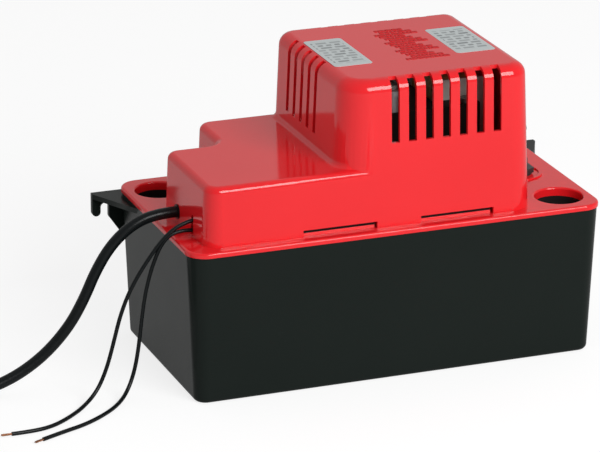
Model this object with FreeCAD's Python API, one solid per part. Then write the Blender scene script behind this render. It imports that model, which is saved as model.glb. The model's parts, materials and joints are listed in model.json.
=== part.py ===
import FreeCAD, Part
import os
from math import acos, asin, atan2, ceil, cos, degrees, hypot, pi, radians, sin, sqrt, tan

os.makedirs("parts", exist_ok=True)

Vec = FreeCAD.Vector
UP = Vec(0, 0, 1)
ALONG_X = Vec(1, 0, 0)
ALONG_Y = Vec(0, 1, 0)

# All sizes are in millimetres. The origin is the centre of the tank's underside,
# X runs along the tank, -Y is the front and +Y is the side that hangs on a wall.

# Tank
length = 250.0
width = 133.4
tank_height = 88.0
tank_wall = 2.5
tank_floor = 2.5
tank_draft = 2.4
tank_corner = 18.6
tank_bottom_round = 3.0
rim_step = 0.7

# Hanging ears on the tank
ear_reach = 16.6
ear_front = 38.0
ear_thick = 3.0
hook_slot = 5.0
hook_finger = 6.3
hook_drop = 17.2
hook_slot_top = 8.6
ear_web_drop = 27.0

# Cover plate
cover_thick = 3.0
cover_corner = 20.0
cover_round = 1.4
cover_lip = 5.0
cover_lip_wall = 2.0
lip_clearance = 0.3
inlet_radius = 14.0
inlet_wall = 2.0
inlet_depth = 11.0
inlet_from_end = 19.2
inlet_from_side = 21.7
inlet_chamfer = 0.8

# Motor housing, one moulding with a low end and a tall end
housing_wall = 2.2
housing_draft = 2.36
housing_left = -113.9
housing_right = 82.5
housing_front = 60.5
low_height = 34.4
low_back = 12.5
low_step = -80.0
low_rear = 56.4
low_edge = 4.0
low_corner = 10.0
low_inner_corner = 9.0
low_end_corner = 8.0
tall_left = -34.0
tall_height = 85.2
tall_edge = 5.0
tall_left_corner = 20.0
tall_right_corner = 7.5
foot_cove = 3.0

# Openings in the housing
vent_width = 3.0
vent_pitch = 10.25
vent_count = 7
vent_first = -1.6
vent_bottom = 49.5
vent_over = 4.0
side_vent_pitch = 10.6
side_vent_count = 5
side_vent_first = -15.0
side_vent_bottom = 45.3
side_vent_over = 3.6
latch_width = 44.4
latch_height = 4.0
latch_centres = (-34.75, 36.05)
latch_tab_height = 2.8
latch_tab_thick = 2.0
latch_gap = 0.4

# Motor
motor_x = 10.0
shaft_radius = 3.0
shaft_fit = 0.05
stack_bottom = 31.0
stack_thick = 25.0
stack_width = 60.0
stack_bore_radius = 15.2
air_gap = 0.5
stack_left = 24.0
stack_window = 28.0
stack_window_width = 12.0
stack_leg = 13.0
window_length = 36.0
bobbin_wall = 1.5
coil_thick = 9.0
motor_hole_spread = 24.0
motor_screw_radius = 2.0
screw_fit = 0.1
bracket_post = 10.0
bracket_thick = 3.0
bracket_width = 14.0
hub_radius = 9.5
hub_length = 8.5
bearing_radius = 7.0
bearing_length = 7.0
rotor_over = 1.0
boss_radius = 5.0
fan_radius = 29.0
fan_blades = 7
fan_height = 7.0
fan_hub_radius = 6.5
fan_gap = 1.2
slinger_radius = 9.0

# Pump in the tank
volute_inner = 24.0
volute_wall = 3.0
volute_bottom = 14.0
volute_room = 13.0
volute_top_thick = 3.0
impeller_radius = 20.5
impeller_vanes = 6
suction_radius = 8.0
foot_gap = 0.3
suction_plate = 2.5
column_outer = 12.0
column_wall = 3.0
column_flange = 20.0
flange_thick = 3.0
flange_screw_circle = 16.0
small_screw_radius = 1.7
small_head_radius = 3.4
small_head_height = 2.0

# Discharge
valve_x = 100.0
pipe_outer = 7.0
pipe_wall = 2.0
pipe_bend = 15.0
socket_fit = 0.1
socket_depth = 10.0
valve_pad_radius = 14.5
valve_pad_height = 0.8
valve_flat = 16.6
valve_flange = 3.0
seal_thick = 1.0
valve_body_radius = 5.8
valve_body_top = 9.0
barb_root = 4.0
barb_crest = 4.8
barb_count = 4
barb_pitch = 5.5
valve_bore = 3.0
valve_chamber = 4.2
poppet_radius = 3.8
poppet_lift = 4.0

# Float and switch gear
float_x = -70.0
float_radius = 23.0
float_height = 36.0
float_bottom = 14.0
float_travel = 18.0
rod_radius = 2.5
rod_gap = 0.3
rod_boss_radius = 5.5
collar_radius = 5.0
collar_height = 2.6
rest_gap = 0.3
lever_arm = 32.0
lever_over = 5.0
lever_pivot_rise = 7.0
lever_thick = 3.0
lever_width = 9.0
lever_per_mm = 0.0315
cam_radius = 5.0
cam_offset = 2.9
lever_hub_width = 20.6
pin_radius = 1.5
sheet = 1.2
switch_thick = 10.3
switch_depth = 15.9
switch_tall = 27.8
plunger_radius = 1.4
plunger_height = 6.7
cheek_gap = 0.3

# Power cord, safety leads and plug
cord_diameter = 6.5
cord_exit_y = -10.0
cord_exit_rise = 5.8
relief_hole = 4.3
relief_proud = 0.4
relief_lip = 1.2
lead_diameter = 2.3
lead_exit_y = -35.0
lead_upper_rise = 9.2
lead_lower_rise = 2.8
lead_slot = 3.4
lead_slot_bottom = 0.9
lead_slot_top = 12.0
strand_radius = 0.75
strand_length = 6.5
coil_centre = (-296.0, -54.7)
coil_middle_radius = 40.0
coil_columns = 3
coil_layers = 2
turn_gap = 0.15
plug_length = 30.0
plug_width = 26.0
plug_height = 23.0
plug_relief = 20.0
plug_gap = 0.15
blade_length = 17.0
blade_width = 6.3
blade_thick = 1.5
blade_spread = 12.7
ground_drop = 11.9
ground_radius = 2.4
ground_length = 20.0

# Levels and positions that follow from the sizes above
cover_top = tank_height + cover_thick
housing_slope = tan(radians(housing_draft))
tank_slope = tan(radians(tank_draft))
low_top = cover_top + low_height
tall_top = cover_top + tall_height
stack_z = cover_top + stack_bottom
stack_top = stack_z + stack_thick
lower_bar_top = stack_z - bracket_post
lower_bar_bottom = lower_bar_top - bracket_thick
upper_bar_bottom = stack_top + bracket_post
upper_bar_top = upper_bar_bottom + bracket_thick
volute_top = volute_bottom + volute_room + volute_top_thick
pipe_z = volute_bottom + volute_room / 2
valve_seat_z = cover_top + seal_thick
rod_top = cover_top + lever_pivot_rise - lever_thick / 2 - rest_gap
pivot_z = cover_top + lever_pivot_rise
pivot_x = float_x + lever_arm
leg_left = motor_x + stack_window + stack_window_width
leg_right = leg_left + stack_leg
leg_middle = (leg_left + leg_right) / 2
cord_exit = Vec(housing_left - relief_proud, cord_exit_y, cover_top + cord_exit_rise)
wall_inner_x = housing_left + housing_wall
grommet_x = wall_inner_x + 0.6
lead_start_x = grommet_x - 0.2

# Plan of each moulding: corner x, corner y, corner radius, anticlockwise from above
cover_plan = [
    (-length / 2, -width / 2, cover_corner),
    (length / 2, -width / 2, cover_corner),
    (length / 2, width / 2, cover_corner),
    (-length / 2, width / 2, cover_corner),
]
low_plan = [
    (housing_left, -housing_front, low_corner),
    (housing_right - tall_left_corner, -housing_front, low_corner),
    (housing_right - tall_left_corner, low_rear, low_corner),
    (low_step, low_rear, low_inner_corner),
    (low_step, low_back, low_inner_corner),
    (housing_left, low_back, low_end_corner),
]
tall_plan = [
    (tall_left, -housing_front, tall_left_corner),
    (housing_right, -housing_front, tall_right_corner),
    (housing_right, housing_front, tall_right_corner),
    (tall_left, housing_front, tall_left_corner),
]


def box(x0, y0, z0, x1, y1, z1):
    return Part.makeBox(x1 - x0, y1 - y0, z1 - z0, Vec(x0, y0, z0))


def rod(x, y, z0, z1, radius):
    return Part.makeCylinder(radius, z1 - z0, Vec(x, y, z0), UP)


def ring(x, y, z0, z1, outer, inner):
    return rod(x, y, z0, z1, outer).cut(rod(x, y, z0 - 1, z1 + 1, inner))


def fuse(shapes):
    joined = shapes[0].multiFuse(shapes[1:]) if len(shapes) > 1 else shapes[0]
    return joined.removeSplitter()


def revolve(profile, x, y):
    """A solid turned about the vertical line through x, y from radius and height pairs."""
    points = [Vec(x + r, y, z) for r, z in profile]
    face = Part.Face(Part.makePolygon(points + points[:1]))
    return face.revolve(Vec(x, y, 0), UP, 360)


def unit(a, b):
    gap = hypot(b[0] - a[0], b[1] - a[1])
    return (b[0] - a[0]) / gap, (b[1] - a[1]) / gap


def inset_plan(plan, inset):
    """The corners of a plan with every side moved inward, each with its arc's centre and ends."""
    found = []
    for i, (x, y, radius) in enumerate(plan):
        ux, uy = unit(plan[i - 1], plan[i])
        vx, vy = unit(plan[i], plan[(i + 1) % len(plan)])
        turn = ux * vy - uy * vx
        side = 1 if turn > 0 else -1
        reach = radius * tan(acos(max(-1, min(1, ux * vx + uy * vy))) / 2)
        centre = (x - ux * reach - side * uy * radius, y - uy * reach + side * ux * radius)
        left = radius - side * inset
        start = (centre[0] + side * uy * left, centre[1] - side * ux * left)
        end = (centre[0] + side * vy * left, centre[1] - side * vx * left)
        found.append((centre, start, end, degrees(asin(max(-1, min(1, turn))))))
    return found


def cap(corners, z):
    """A flat face at height z inside the corners that inset_plan gives."""
    edges = []
    for i, (centre, start, end, turn) in enumerate(corners):
        half = radians(turn / 2)
        dx, dy = start[0] - centre[0], start[1] - centre[1]
        middle = Vec(
            centre[0] + dx * cos(half) - dy * sin(half),
            centre[1] + dx * sin(half) + dy * cos(half),
            z,
        )
        edges.append(Part.Arc(Vec(*start, z), middle, Vec(*end, z)).toShape())
        after = corners[(i + 1) % len(corners)][1]
        edges.append(Part.makeLine(Vec(*end, z), Vec(*after, z)))
    return Part.Face(Part.Wire(edges))


def moulded_block(plan, base_z, inset, slope, z0, z1):
    """A solid on a plan whose sides lean: inset holds at base_z and grows by slope per height."""
    low = cap(inset_plan(plan, inset + (z0 - base_z) * slope), z0)
    high = cap(inset_plan(plan, inset + (z1 - base_z) * slope), z1)
    return Part.makeLoft([low.OuterWire, high.OuterWire], True, True)


def level_edges(shape, z):
    """The edges that lie flat at height z."""
    return [e for e in shape.Edges if abs(e.BoundBox.ZMin - z) < 1e-4 and abs(e.BoundBox.ZMax - z) < 1e-4]


def round_level(shape, z, radius):
    return shape.makeFillet(radius, level_edges(shape, z))


def tank_block(inset, z0, z1):
    plan = [(x, y, tank_corner + rim_step) for x, y, _ in cover_plan]
    return moulded_block(plan, tank_height, rim_step + inset, -tank_slope, z0, z1)


def ear(side):
    """A hanging ear: a flat gusset level with the rim and a hooked flange in the wall plane."""
    rear = width / 2
    root = length / 2 - rim_step - tank_wall / 2
    tip = length / 2 + ear_reach
    corners = [(root, rear - ear_front), (tip, rear - ear_thick), (tip, rear), (root - 8, rear)]
    points = [Vec(side * x, y, tank_height) for x, y in corners]
    gusset = Part.Face(Part.makePolygon(points + points[:1])).extrude(Vec(0, 0, -ear_thick))
    slot_out = tip - hook_finger
    slot_in = slot_out - hook_slot
    floor = tank_height - hook_drop
    web = [
        (root - 8, tank_height),
        (root - 8, tank_height - ear_web_drop),
        (root, tank_height - ear_web_drop),
        (slot_in, floor - 2.5),
        (slot_in, tank_height - hook_slot_top - hook_slot / 2),
        (slot_out, tank_height - hook_slot_top - hook_slot / 2),
        (slot_out, floor + 2),
        (slot_out + 2, floor),
        (tip - 2.6, floor),
        (tip - 0.6, floor + 2),
        (tip, tank_height),
    ]
    points = [Vec(side * x, rear - ear_thick, z) for x, z in web]
    flange = Part.Face(Part.makePolygon(points + points[:1])).extrude(Vec(0, ear_thick, 0))
    slot_middle = side * (slot_in + slot_out) / 2
    top = Vec(slot_middle, rear - 2 * ear_thick, tank_height - hook_slot_top - hook_slot / 2)
    arch = Part.makeCylinder(hook_slot / 2, 3 * ear_thick, top, ALONG_Y)
    return fuse([gusset, flange]).cut(arch)


def make_tank():
    shell = round_level(tank_block(0, 0, tank_height), 0, tank_bottom_round)
    ears = [ear(side) for side in (-1, 1)]
    hollow = tank_block(tank_wall, tank_floor, tank_height + 1)
    return fuse([shell] + ears).cut(hollow)


def inlet_places():
    x = length / 2 - inlet_from_end
    y = width / 2 - inlet_from_side
    return [(x, -y), (-x, y), (x, y)]


def cover_lip_block(extra, z0, z1):
    inset = rim_step + tank_wall + lip_clearance + extra
    return moulded_block(cover_plan, tank_height, inset, -tank_slope, z0, z1)


def motor_bosses():
    low = [rod(motor_x, s * motor_hole_spread, cover_top - 1, lower_bar_bottom, boss_radius) for s in (-1, 1)]
    high = [rod(leg_middle, s * motor_hole_spread, cover_top - 1, stack_z, boss_radius) for s in (-1, 1)]
    return low + high


def latch_tabs():
    tabs = []
    y = housing_front - housing_wall - latch_gap
    for side in (-1, 1):
        for middle in latch_centres if side < 0 else latch_centres[1:]:
            x0 = middle - latch_width / 2 + 1
            x1 = middle + latch_width / 2 - 1
            y0, y1 = sorted((side * y, side * (y - latch_tab_thick)))
            tabs.append(box(x0, y0, cover_top - 1, x1, y1, cover_top + latch_tab_height))
    return tabs


def make_cover():
    plate = moulded_block(cover_plan, tank_height, 0, 0, tank_height, cover_top)
    plate = round_level(plate, cover_top, cover_round)
    lip_bottom = tank_height - cover_lip
    lip = cover_lip_block(0, lip_bottom, tank_height)
    lip = lip.cut(cover_lip_block(cover_lip_wall, lip_bottom - 1, tank_height + 1))
    socket_bottom = cover_top - inlet_depth
    room = cover_lip_block(0, socket_bottom, tank_height)
    sockets = [rod(x, y, socket_bottom, tank_height, inlet_radius + inlet_wall).common(room) for x, y in inlet_places()]
    pipe_boss = rod(valve_x, 0, tank_height - socket_depth, tank_height, pipe_outer + 3.5)
    pad = rod(valve_x, 0, cover_top - 1, cover_top + valve_pad_height, valve_pad_radius)
    guide = rod(float_x, 0, tank_height - 4, cover_top + 2.5, rod_boss_radius)
    solid = fuse([plate, lip, pipe_boss, pad, guide] + sockets + motor_bosses() + latch_tabs())
    cuts = [rod(x, y, 0, cover_top + 1, inlet_radius) for x, y in inlet_places()]
    for x, y in inlet_places():
        top = inlet_radius + inlet_chamfer
        cuts.append(Part.makeCone(inlet_radius, top, inlet_chamfer, Vec(x, y, cover_top - inlet_chamfer), UP))
    cuts.append(rod(motor_x, 0, 0, cover_top + 1, shaft_radius + 2))
    cuts.append(rod(float_x, 0, 0, cover_top + 5, rod_radius + rod_gap))
    cuts.append(rod(valve_x, 0, 0, tank_height, pipe_outer + socket_fit))
    cuts.append(rod(valve_x, 0, 0, cover_top + 5, valve_body_radius + socket_fit))
    cuts.append(rod(valve_x, 0, cover_top, cover_top + 5, valve_pad_radius - 2))
    for x in (motor_x, leg_middle):
        for s in (-1, 1):
            cuts.append(rod(x, s * motor_hole_spread, cover_top + 1, stack_top, motor_screw_radius + screw_fit))
    cuts += [rod(x, y, 0, cover_top - 1, small_screw_radius + screw_fit) for x, y in column_screw_places()]
    cuts += [rod(x, y, cover_top - 2, cover_top + 1, small_screw_radius + screw_fit) for x, y in bracket_screw_places()]
    return solid.cut(Part.makeCompound(cuts))


def housing_block(plan, height, inset, base):
    return moulded_block(plan, cover_top, inset, housing_slope, base, cover_top + height)


def foot_edges(shape):
    """Where the tall end's left wall stands on the low end's top."""
    found = []
    for e in level_edges(shape, low_top):
        middle = e.CenterOfMass
        if tall_left - 2 < middle.x < 40 and abs(middle.y) < low_rear - low_edge:
            found.append(e)
    return found


def housing_outside():
    low = round_level(housing_block(low_plan, low_height, 0, cover_top), low_top, low_edge)
    tall = round_level(housing_block(tall_plan, tall_height, 0, cover_top), tall_top, tall_edge)
    return fuse([low, tall])


def vents():
    cuts = []
    top_inset = tall_height * housing_slope
    over = housing_front - top_inset - vent_over
    for i in range(vent_count):
        x = vent_first + i * vent_pitch
        for side in (-1, 1):
            y0, y1 = sorted((side * over, side * (housing_front + 5)))
            cuts.append(box(x - vent_width / 2, y0, cover_top + vent_bottom, x + vent_width / 2, y1, tall_top + 1))
    x1 = tall_left + top_inset + side_vent_over
    for i in range(side_vent_count):
        y = side_vent_first + i * side_vent_pitch
        z0 = cover_top + side_vent_bottom
        cuts.append(box(tall_left - 5, y - vent_width / 2, z0, x1, y + vent_width / 2, tall_top + 1))
    return cuts


def housing_holes():
    cuts = []
    for side in (-1, 1):
        for middle in latch_centres if side < 0 else latch_centres[1:]:
            y0, y1 = sorted((side * (housing_front - housing_wall - 1), side * (housing_front + 1)))
            x0, x1 = middle - latch_width / 2, middle + latch_width / 2
            cuts.append(box(x0, y0, cover_top - 1, x1, y1, cover_top + latch_height))
    start = Vec(housing_left - 2, cord_exit_y, cord_exit.z)
    cuts.append(Part.makeCylinder(relief_hole, housing_wall + 6, start, ALONG_X))
    r = lead_slot / 2
    z0 = cover_top + lead_slot_bottom + r
    z1 = cover_top + lead_slot_top - r
    cuts.append(box(housing_left - 2, lead_exit_y - r, z0, wall_inner_x + 3, lead_exit_y + r, z1))
    for z in (z0, z1):
        cuts.append(Part.makeCylinder(r, housing_wall + 5, Vec(housing_left - 2, lead_exit_y, z), ALONG_X))
    return cuts


def make_housing():
    outside = housing_outside()
    low = housing_block(low_plan, low_height - housing_wall, housing_wall, cover_top - 1)
    tall = housing_block(tall_plan, tall_height - housing_wall, housing_wall, cover_top - 1)
    cuts = [fuse([low, tall])] + vents() + housing_holes()
    return outside.cut(Part.makeCompound(cuts))


def motor_screw_holes(z0, z1):
    places = [(x, s * motor_hole_spread) for x in (motor_x, leg_middle) for s in (-1, 1)]
    return [rod(x, y, z0, z1, motor_screw_radius + screw_fit) for x, y in places]


def make_laminations():
    half = stack_width / 2
    body = box(motor_x - stack_left, -half, stack_z, leg_right, half, stack_top)
    window_left = motor_x + stack_window
    window = box(window_left, -window_length / 2, stack_z - 1, leg_left, window_length / 2, stack_top + 1)
    bore = rod(motor_x, 0, stack_z - 1, stack_top + 1, stack_bore_radius)
    slit = box(motor_x - 0.8, -stack_bore_radius - 3, stack_z - 1, motor_x + 0.8, stack_bore_radius + 3, stack_top + 1)
    cuts = [window, bore, slit] + motor_screw_holes(stack_z - 1, stack_top + 1)
    upright = [e for e in body.Edges if e.BoundBox.ZLength > stack_thick / 2]
    return body.makeFillet(3.0, upright).cut(Part.makeCompound(cuts))


def make_shading_rings():
    """Two copper bands let into the pole beside the rotor, standing proud of the stack's faces."""
    bands = []
    for side in (-1, 1):
        x0 = motor_x + side * 8.0
        for z0 in (stack_z - 2.3, stack_top + 0.3):
            bands.append(box(x0 - 4, side * 17.6 - 1, z0, x0 + 4, side * 17.6 + 1, z0 + 2.0))
    return Part.makeCompound(bands)


def make_bobbin():
    gap = 0.3
    half = window_length / 2 - gap
    inner = (leg_left - gap, leg_right + gap, stack_z - gap, stack_top + gap)
    x0, x1 = inner[0] - bobbin_wall, inner[1] + bobbin_wall
    z0, z1 = inner[2] - bobbin_wall, inner[3] + bobbin_wall
    core = box(x0, -half, z0, x1, half, z1)
    out = coil_thick + 1.0
    flanges = []
    for side in (-1, 1):
        y0, y1 = sorted((side * half, side * (half - bobbin_wall)))
        flanges.append(box(x0 - out, y0, z0 - out, x1 + out, y1, z1 + out))
    hole = box(inner[0], -half - 1, inner[2], inner[1], half + 1, inner[3])
    return fuse([core] + flanges).cut(hole)


def make_winding():
    gap = 0.3
    half = window_length / 2 - gap - bobbin_wall
    x0 = leg_left - gap - bobbin_wall
    x1 = leg_right + gap + bobbin_wall
    z0 = stack_z - gap - bobbin_wall
    z1 = stack_top + gap + bobbin_wall
    block = box(x0 - coil_thick, -half, z0 - coil_thick, x1 + coil_thick, half, z1 + coil_thick)
    along = [e for e in block.Edges if e.BoundBox.YLength > half]
    return block.makeFillet(coil_thick * 0.7, along).cut(box(x0, -half - 1, z0, x1, half + 1, z1))


def bearing_bracket(bar_z0, bar_z1, post_z0, post_z1, hub_z0, hub_z1, pocket_z0, pocket_z1):
    """A cast bridge: two posts, a bar with round ends and a hub that holds the shaft's bearing."""
    solids = [box(motor_x - bracket_width / 2, -motor_hole_spread, bar_z0, motor_x + bracket_width / 2, motor_hole_spread, bar_z1)]
    for s in (-1, 1):
        y = s * motor_hole_spread
        solids.append(rod(motor_x, y, bar_z0, bar_z1, bracket_width / 2))
        solids.append(rod(motor_x, y, post_z0, post_z1, boss_radius))
    solids.append(rod(motor_x, 0, hub_z0, hub_z1, hub_radius))
    cuts = [rod(motor_x, 0, pocket_z0, pocket_z1, bearing_radius)]
    cuts.append(rod(motor_x, 0, hub_z0 - 1, hub_z1 + 1, shaft_radius + 1))
    for s in (-1, 1):
        cuts.append(rod(motor_x, s * motor_hole_spread, post_z0 - 20, post_z1 + 20, motor_screw_radius + screw_fit))
    return fuse(solids).cut(Part.makeCompound(cuts))


def lower_hub():
    bottom = lower_bar_top - hub_length
    return bottom, bottom + bearing_length


def upper_hub():
    top = upper_bar_bottom + hub_length
    return top - bearing_length, top


def make_lower_bracket():
    bottom, pocket_top = lower_hub()
    return bearing_bracket(
        lower_bar_bottom, lower_bar_top, lower_bar_top - 1, stack_z, bottom, lower_bar_top, bottom - 1, pocket_top
    )


def make_upper_bracket():
    pocket_bottom, top = upper_hub()
    return bearing_bracket(
        upper_bar_bottom, upper_bar_top, stack_top, upper_bar_bottom + 1, upper_bar_bottom, top, pocket_bottom, top + 1
    )


def make_bearings():
    low, low_end = lower_hub()
    high, high_end = upper_hub()
    inner = shaft_radius + shaft_fit
    return Part.makeCompound(
        [ring(motor_x, 0, low, low_end, bearing_radius, inner), ring(motor_x, 0, high, high_end, bearing_radius, inner)]
    )


def screw(x, y, head_z, length_down, radius, head_radius, head_height, down=1):
    """A pan head screw whose head rests on head_z; down is 1 for a shank below the head, -1 for above."""
    if down > 0:
        shank = rod(x, y, head_z - length_down, head_z, radius)
        head = rod(x, y, head_z, head_z + head_height, head_radius)
        slot = box(x - head_radius, y - 0.5, head_z + head_height * 0.5, x + head_radius, y + 0.5, head_z + head_height + 1)
    else:
        shank = rod(x, y, head_z, head_z + length_down, radius)
        head = rod(x, y, head_z - head_height, head_z, head_radius)
        slot = box(x - head_radius, y - 0.5, head_z - head_height - 1, x + head_radius, y + 0.5, head_z - head_height * 0.5)
    return fuse([shank, head]).cut(slot)


def make_motor_screws():
    solids = []
    for s in (-1, 1):
        y = s * motor_hole_spread
        solids.append(screw(motor_x, y, upper_bar_top, upper_bar_top - cover_top - 2, motor_screw_radius, 4.0, 2.6))
        solids.append(screw(leg_middle, y, stack_top, stack_top - cover_top - 2, motor_screw_radius, 4.0, 2.6))
    return Part.makeCompound(solids)


def shaft_bottom():
    return volute_bottom + 4.0


def fan_bottom():
    return upper_hub()[1] + fan_gap


def make_shaft():
    z0, z1 = shaft_bottom(), fan_bottom() + fan_height
    tip = 0.6
    profile = [(0, z0), (shaft_radius - tip, z0), (shaft_radius, z0 + tip), (shaft_radius, z1 - tip)]
    profile += [(shaft_radius - tip, z1), (0, z1)]
    return revolve(profile, motor_x, 0)


def make_rotor():
    radius = stack_bore_radius - air_gap
    core = ring(motor_x, 0, stack_z - rotor_over, stack_top + rotor_over, radius, shaft_radius)
    rings = [
        ring(motor_x, 0, stack_z - rotor_over - 3, stack_z - rotor_over, radius - 1.5, radius - 5),
        ring(motor_x, 0, stack_top + rotor_over, stack_top + rotor_over + 3, radius - 1.5, radius - 5),
    ]
    return fuse([core] + rings)


def make_fan():
    """A moulded fan: a hub, a thin back disc and blades that curve away from their turn."""
    z0 = fan_bottom()
    hub = rod(motor_x, 0, z0, z0 + fan_height, fan_hub_radius)
    disc = rod(motor_x, 0, z0, z0 + 1.2, fan_radius * 0.72)
    blades = []
    for i in range(fan_blades):
        turn = 360.0 * i / fan_blades
        blades.append(curved_vane(fan_hub_radius - 1, fan_radius, 1.4, z0, z0 + fan_height, 24.0, turn, motor_x))
    return fuse([hub, disc] + blades).cut(rod(motor_x, 0, z0 - 1, z0 + fan_height + 1, shaft_radius))


def curved_vane(inner, outer, thick, z0, z1, lean, turn, x):
    """One upright vane between two radii, bowed by lean degrees, turned about the shaft."""
    bend = radians(lean)
    middle = (inner + outer) / 2
    a = Vec(inner, 0, z0)
    b = Vec(middle * cos(bend / 3), middle * sin(bend / 3), z0)
    c = Vec(outer * cos(bend), outer * sin(bend), z0)
    side = Vec(-sin(bend), cos(bend), 0) * thick
    front = Part.Arc(a, b, c).toShape()
    back = Part.Arc(c + side, b + Vec(0, thick, 0), a + Vec(0, thick, 0)).toShape()
    ends = [Part.makeLine(c, c + side), Part.makeLine(a + Vec(0, thick, 0), a)]
    vane = Part.Face(Part.Wire([front, ends[0], back, ends[1]])).extrude(Vec(0, 0, z1 - z0))
    vane.rotate(Vec(0, 0, 0), UP, turn)
    vane.translate(Vec(x, 0, 0))
    return vane


def make_slinger():
    z0 = cover_top + 2.0
    return ring(motor_x, 0, z0, z0 + 2.0, slinger_radius, shaft_radius)


def make_impeller():
    z0 = volute_bottom + 2.5
    plate = rod(motor_x, 0, z0 + 6, z0 + 7.5, impeller_radius)
    hub = rod(motor_x, 0, z0, z0 + 9, 5.0)
    vanes = []
    for i in range(impeller_vanes):
        turn = 360.0 * i / impeller_vanes
        vanes.append(curved_vane(4.5, impeller_radius - 0.3, 1.5, z0, z0 + 6.2, 38.0, turn, motor_x))
    return fuse([plate, hub] + vanes).cut(rod(motor_x, 0, shaft_bottom(), z0 + 20, shaft_radius))


def column_screw_places():
    return [
        (motor_x + flange_screw_circle * cos(radians(a)), flange_screw_circle * sin(radians(a)))
        for a in (90, 210, 330)
    ]


def make_column():
    tube = ring(motor_x, 0, volute_top, tank_height, column_outer, column_outer - column_wall)
    top = ring(motor_x, 0, tank_height - flange_thick, tank_height, column_flange, column_outer - column_wall)
    low = ring(motor_x, 0, volute_top, volute_top + flange_thick, column_flange, column_outer - column_wall)
    ribs = []
    for x, y in column_screw_places():
        turn = degrees(atan2(y, x - motor_x)) + 60
        rib = box(column_outer - 1, -1.2, volute_top, column_flange - 3, 1.2, tank_height)
        rib.rotate(Vec(0, 0, 0), UP, turn)
        rib.translate(Vec(motor_x, 0, 0))
        ribs.append(rib)
    cuts = [rod(x, y, 0, tank_height + 1, small_screw_radius + screw_fit) for x, y in column_screw_places()]
    drain = box(motor_x - 25, -2.5, tank_height - 14, motor_x + 25, 2.5, tank_height - 7)
    return fuse([tube, top, low] + ribs).cut(Part.makeCompound(cuts + [drain]))


def make_column_screws():
    solids = []
    for x, y in column_screw_places():
        under = tank_height - flange_thick
        solids.append(screw(x, y, under, flange_thick + 1.6, small_screw_radius, small_head_radius, small_head_height, -1))
        over = volute_top + flange_thick
        down = flange_thick + volute_top_thick - 1
        solids.append(screw(x, y, over, down, small_screw_radius, small_head_radius, small_head_height))
    return Part.makeCompound(solids)


def outlet_line():
    """Where the outlet leaves the volute's ring, and its direction towards the valve."""
    reach = valve_x - motor_x
    away = volute_inner - pipe_outer + pipe_wall - 1
    angle = acos(away / reach)
    start = Vec(motor_x + away * cos(angle), away * sin(angle), pipe_z)
    return start, (Vec(valve_x, 0, pipe_z) - start).normalize()


def volute_lugs(z0, z1, radius, reach):
    places = [(motor_x + reach * cos(radians(a)), reach * sin(radians(a))) for a in (90, 210, 330)]
    return places, [rod(x, y, z0, z1, radius) for x, y in places]


def make_volute():
    outer = volute_inner + volute_wall
    start, along = outlet_line()
    spout = Part.makeCylinder(pipe_outer + 2.2, 40, start, along)
    places, lugs = volute_lugs(volute_bottom, volute_top, 4.2, outer + 1.5)
    solid = fuse([rod(motor_x, 0, volute_bottom, volute_top, outer), spout] + lugs)
    below = rod(motor_x, 0, 0, volute_bottom, outer + 6)
    cuts = [rod(motor_x, 0, 0, volute_bottom + volute_room, volute_inner), below]
    cuts.append(Part.makeCylinder(pipe_outer - pipe_wall, 50, start, along))
    cuts.append(Part.makeCylinder(pipe_outer + socket_fit, 50, start + along * 30, along))
    cuts.append(rod(motor_x, 0, 0, volute_top + 1, shaft_radius + 1))
    cuts += [rod(x, y, 0, volute_top - 3, small_screw_radius + screw_fit) for x, y in places]
    cuts += [rod(x, y, volute_top - 2.2, volute_top + 1, small_screw_radius + screw_fit) for x, y in column_screw_places()]
    return solid.cut(Part.makeCompound(cuts))


def make_suction_plate():
    outer = volute_inner + volute_wall
    z0 = volute_bottom - suction_plate
    places, lugs = volute_lugs(z0, volute_bottom, 4.2, outer + 1.5)
    feet = []
    for a in (90, 210, 330):
        x = motor_x + 21 * cos(radians(a))
        y = 21 * sin(radians(a))
        feet.append(rod(x, y, tank_floor + foot_gap, volute_bottom - 1, 3.0))
    strainer = ring(motor_x, 0, tank_floor + 2.5, volute_bottom - 1, 13.5, 12.0)
    solid = fuse([rod(motor_x, 0, z0, volute_bottom, outer), strainer] + lugs + feet)
    cuts = [rod(motor_x, 0, 0, volute_bottom + 1, suction_radius)]
    for i in range(8):
        gate = box(5, -2, tank_floor + 4, 18, 2, volute_bottom - suction_plate)
        gate.rotate(Vec(0, 0, 0), UP, 45.0 * i + 22.5)
        gate.translate(Vec(motor_x, 0, 0))
        cuts.append(gate.cut(rod(motor_x, 0, 0, volute_bottom, 9.0)))
    cuts += [rod(x, y, 0, volute_top, small_screw_radius + screw_fit) for x, y in places]
    return solid.cut(Part.makeCompound(cuts))


def make_volute_screws():
    places, _ = volute_lugs(0, 1, 1, volute_inner + volute_wall + 1.5)
    under = volute_bottom - suction_plate
    reach = volute_top - 4 - under
    return Part.makeCompound(
        [screw(x, y, under, reach, small_screw_radius, small_head_radius, small_head_height, -1) for x, y in places]
    )


def tube_along(path, radius, start, direction):
    profile = Part.Wire([Part.makeCircle(radius, start, direction)])
    return path.makePipeShell([profile], True, False)


def make_discharge_pipe():
    start, along = outlet_line()
    start = start + along * 30.3
    corner = Vec(valve_x, 0, pipe_z)
    bend_in = corner - along * pipe_bend
    bend_out = corner + UP * pipe_bend
    centre = bend_in + UP * pipe_bend
    middle = centre + (corner - centre).normalize() * pipe_bend
    top = Vec(valve_x, 0, cover_top - cover_thick - 0.3)
    edges = [
        Part.makeLine(start, bend_in),
        Part.Arc(bend_in, middle, bend_out).toShape(),
        Part.makeLine(bend_out, top),
    ]
    path = Part.Wire(edges)
    outside = tube_along(path, pipe_outer, start, along)
    return outside.cut(tube_along(path, pipe_outer - pipe_wall, start, along))


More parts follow.
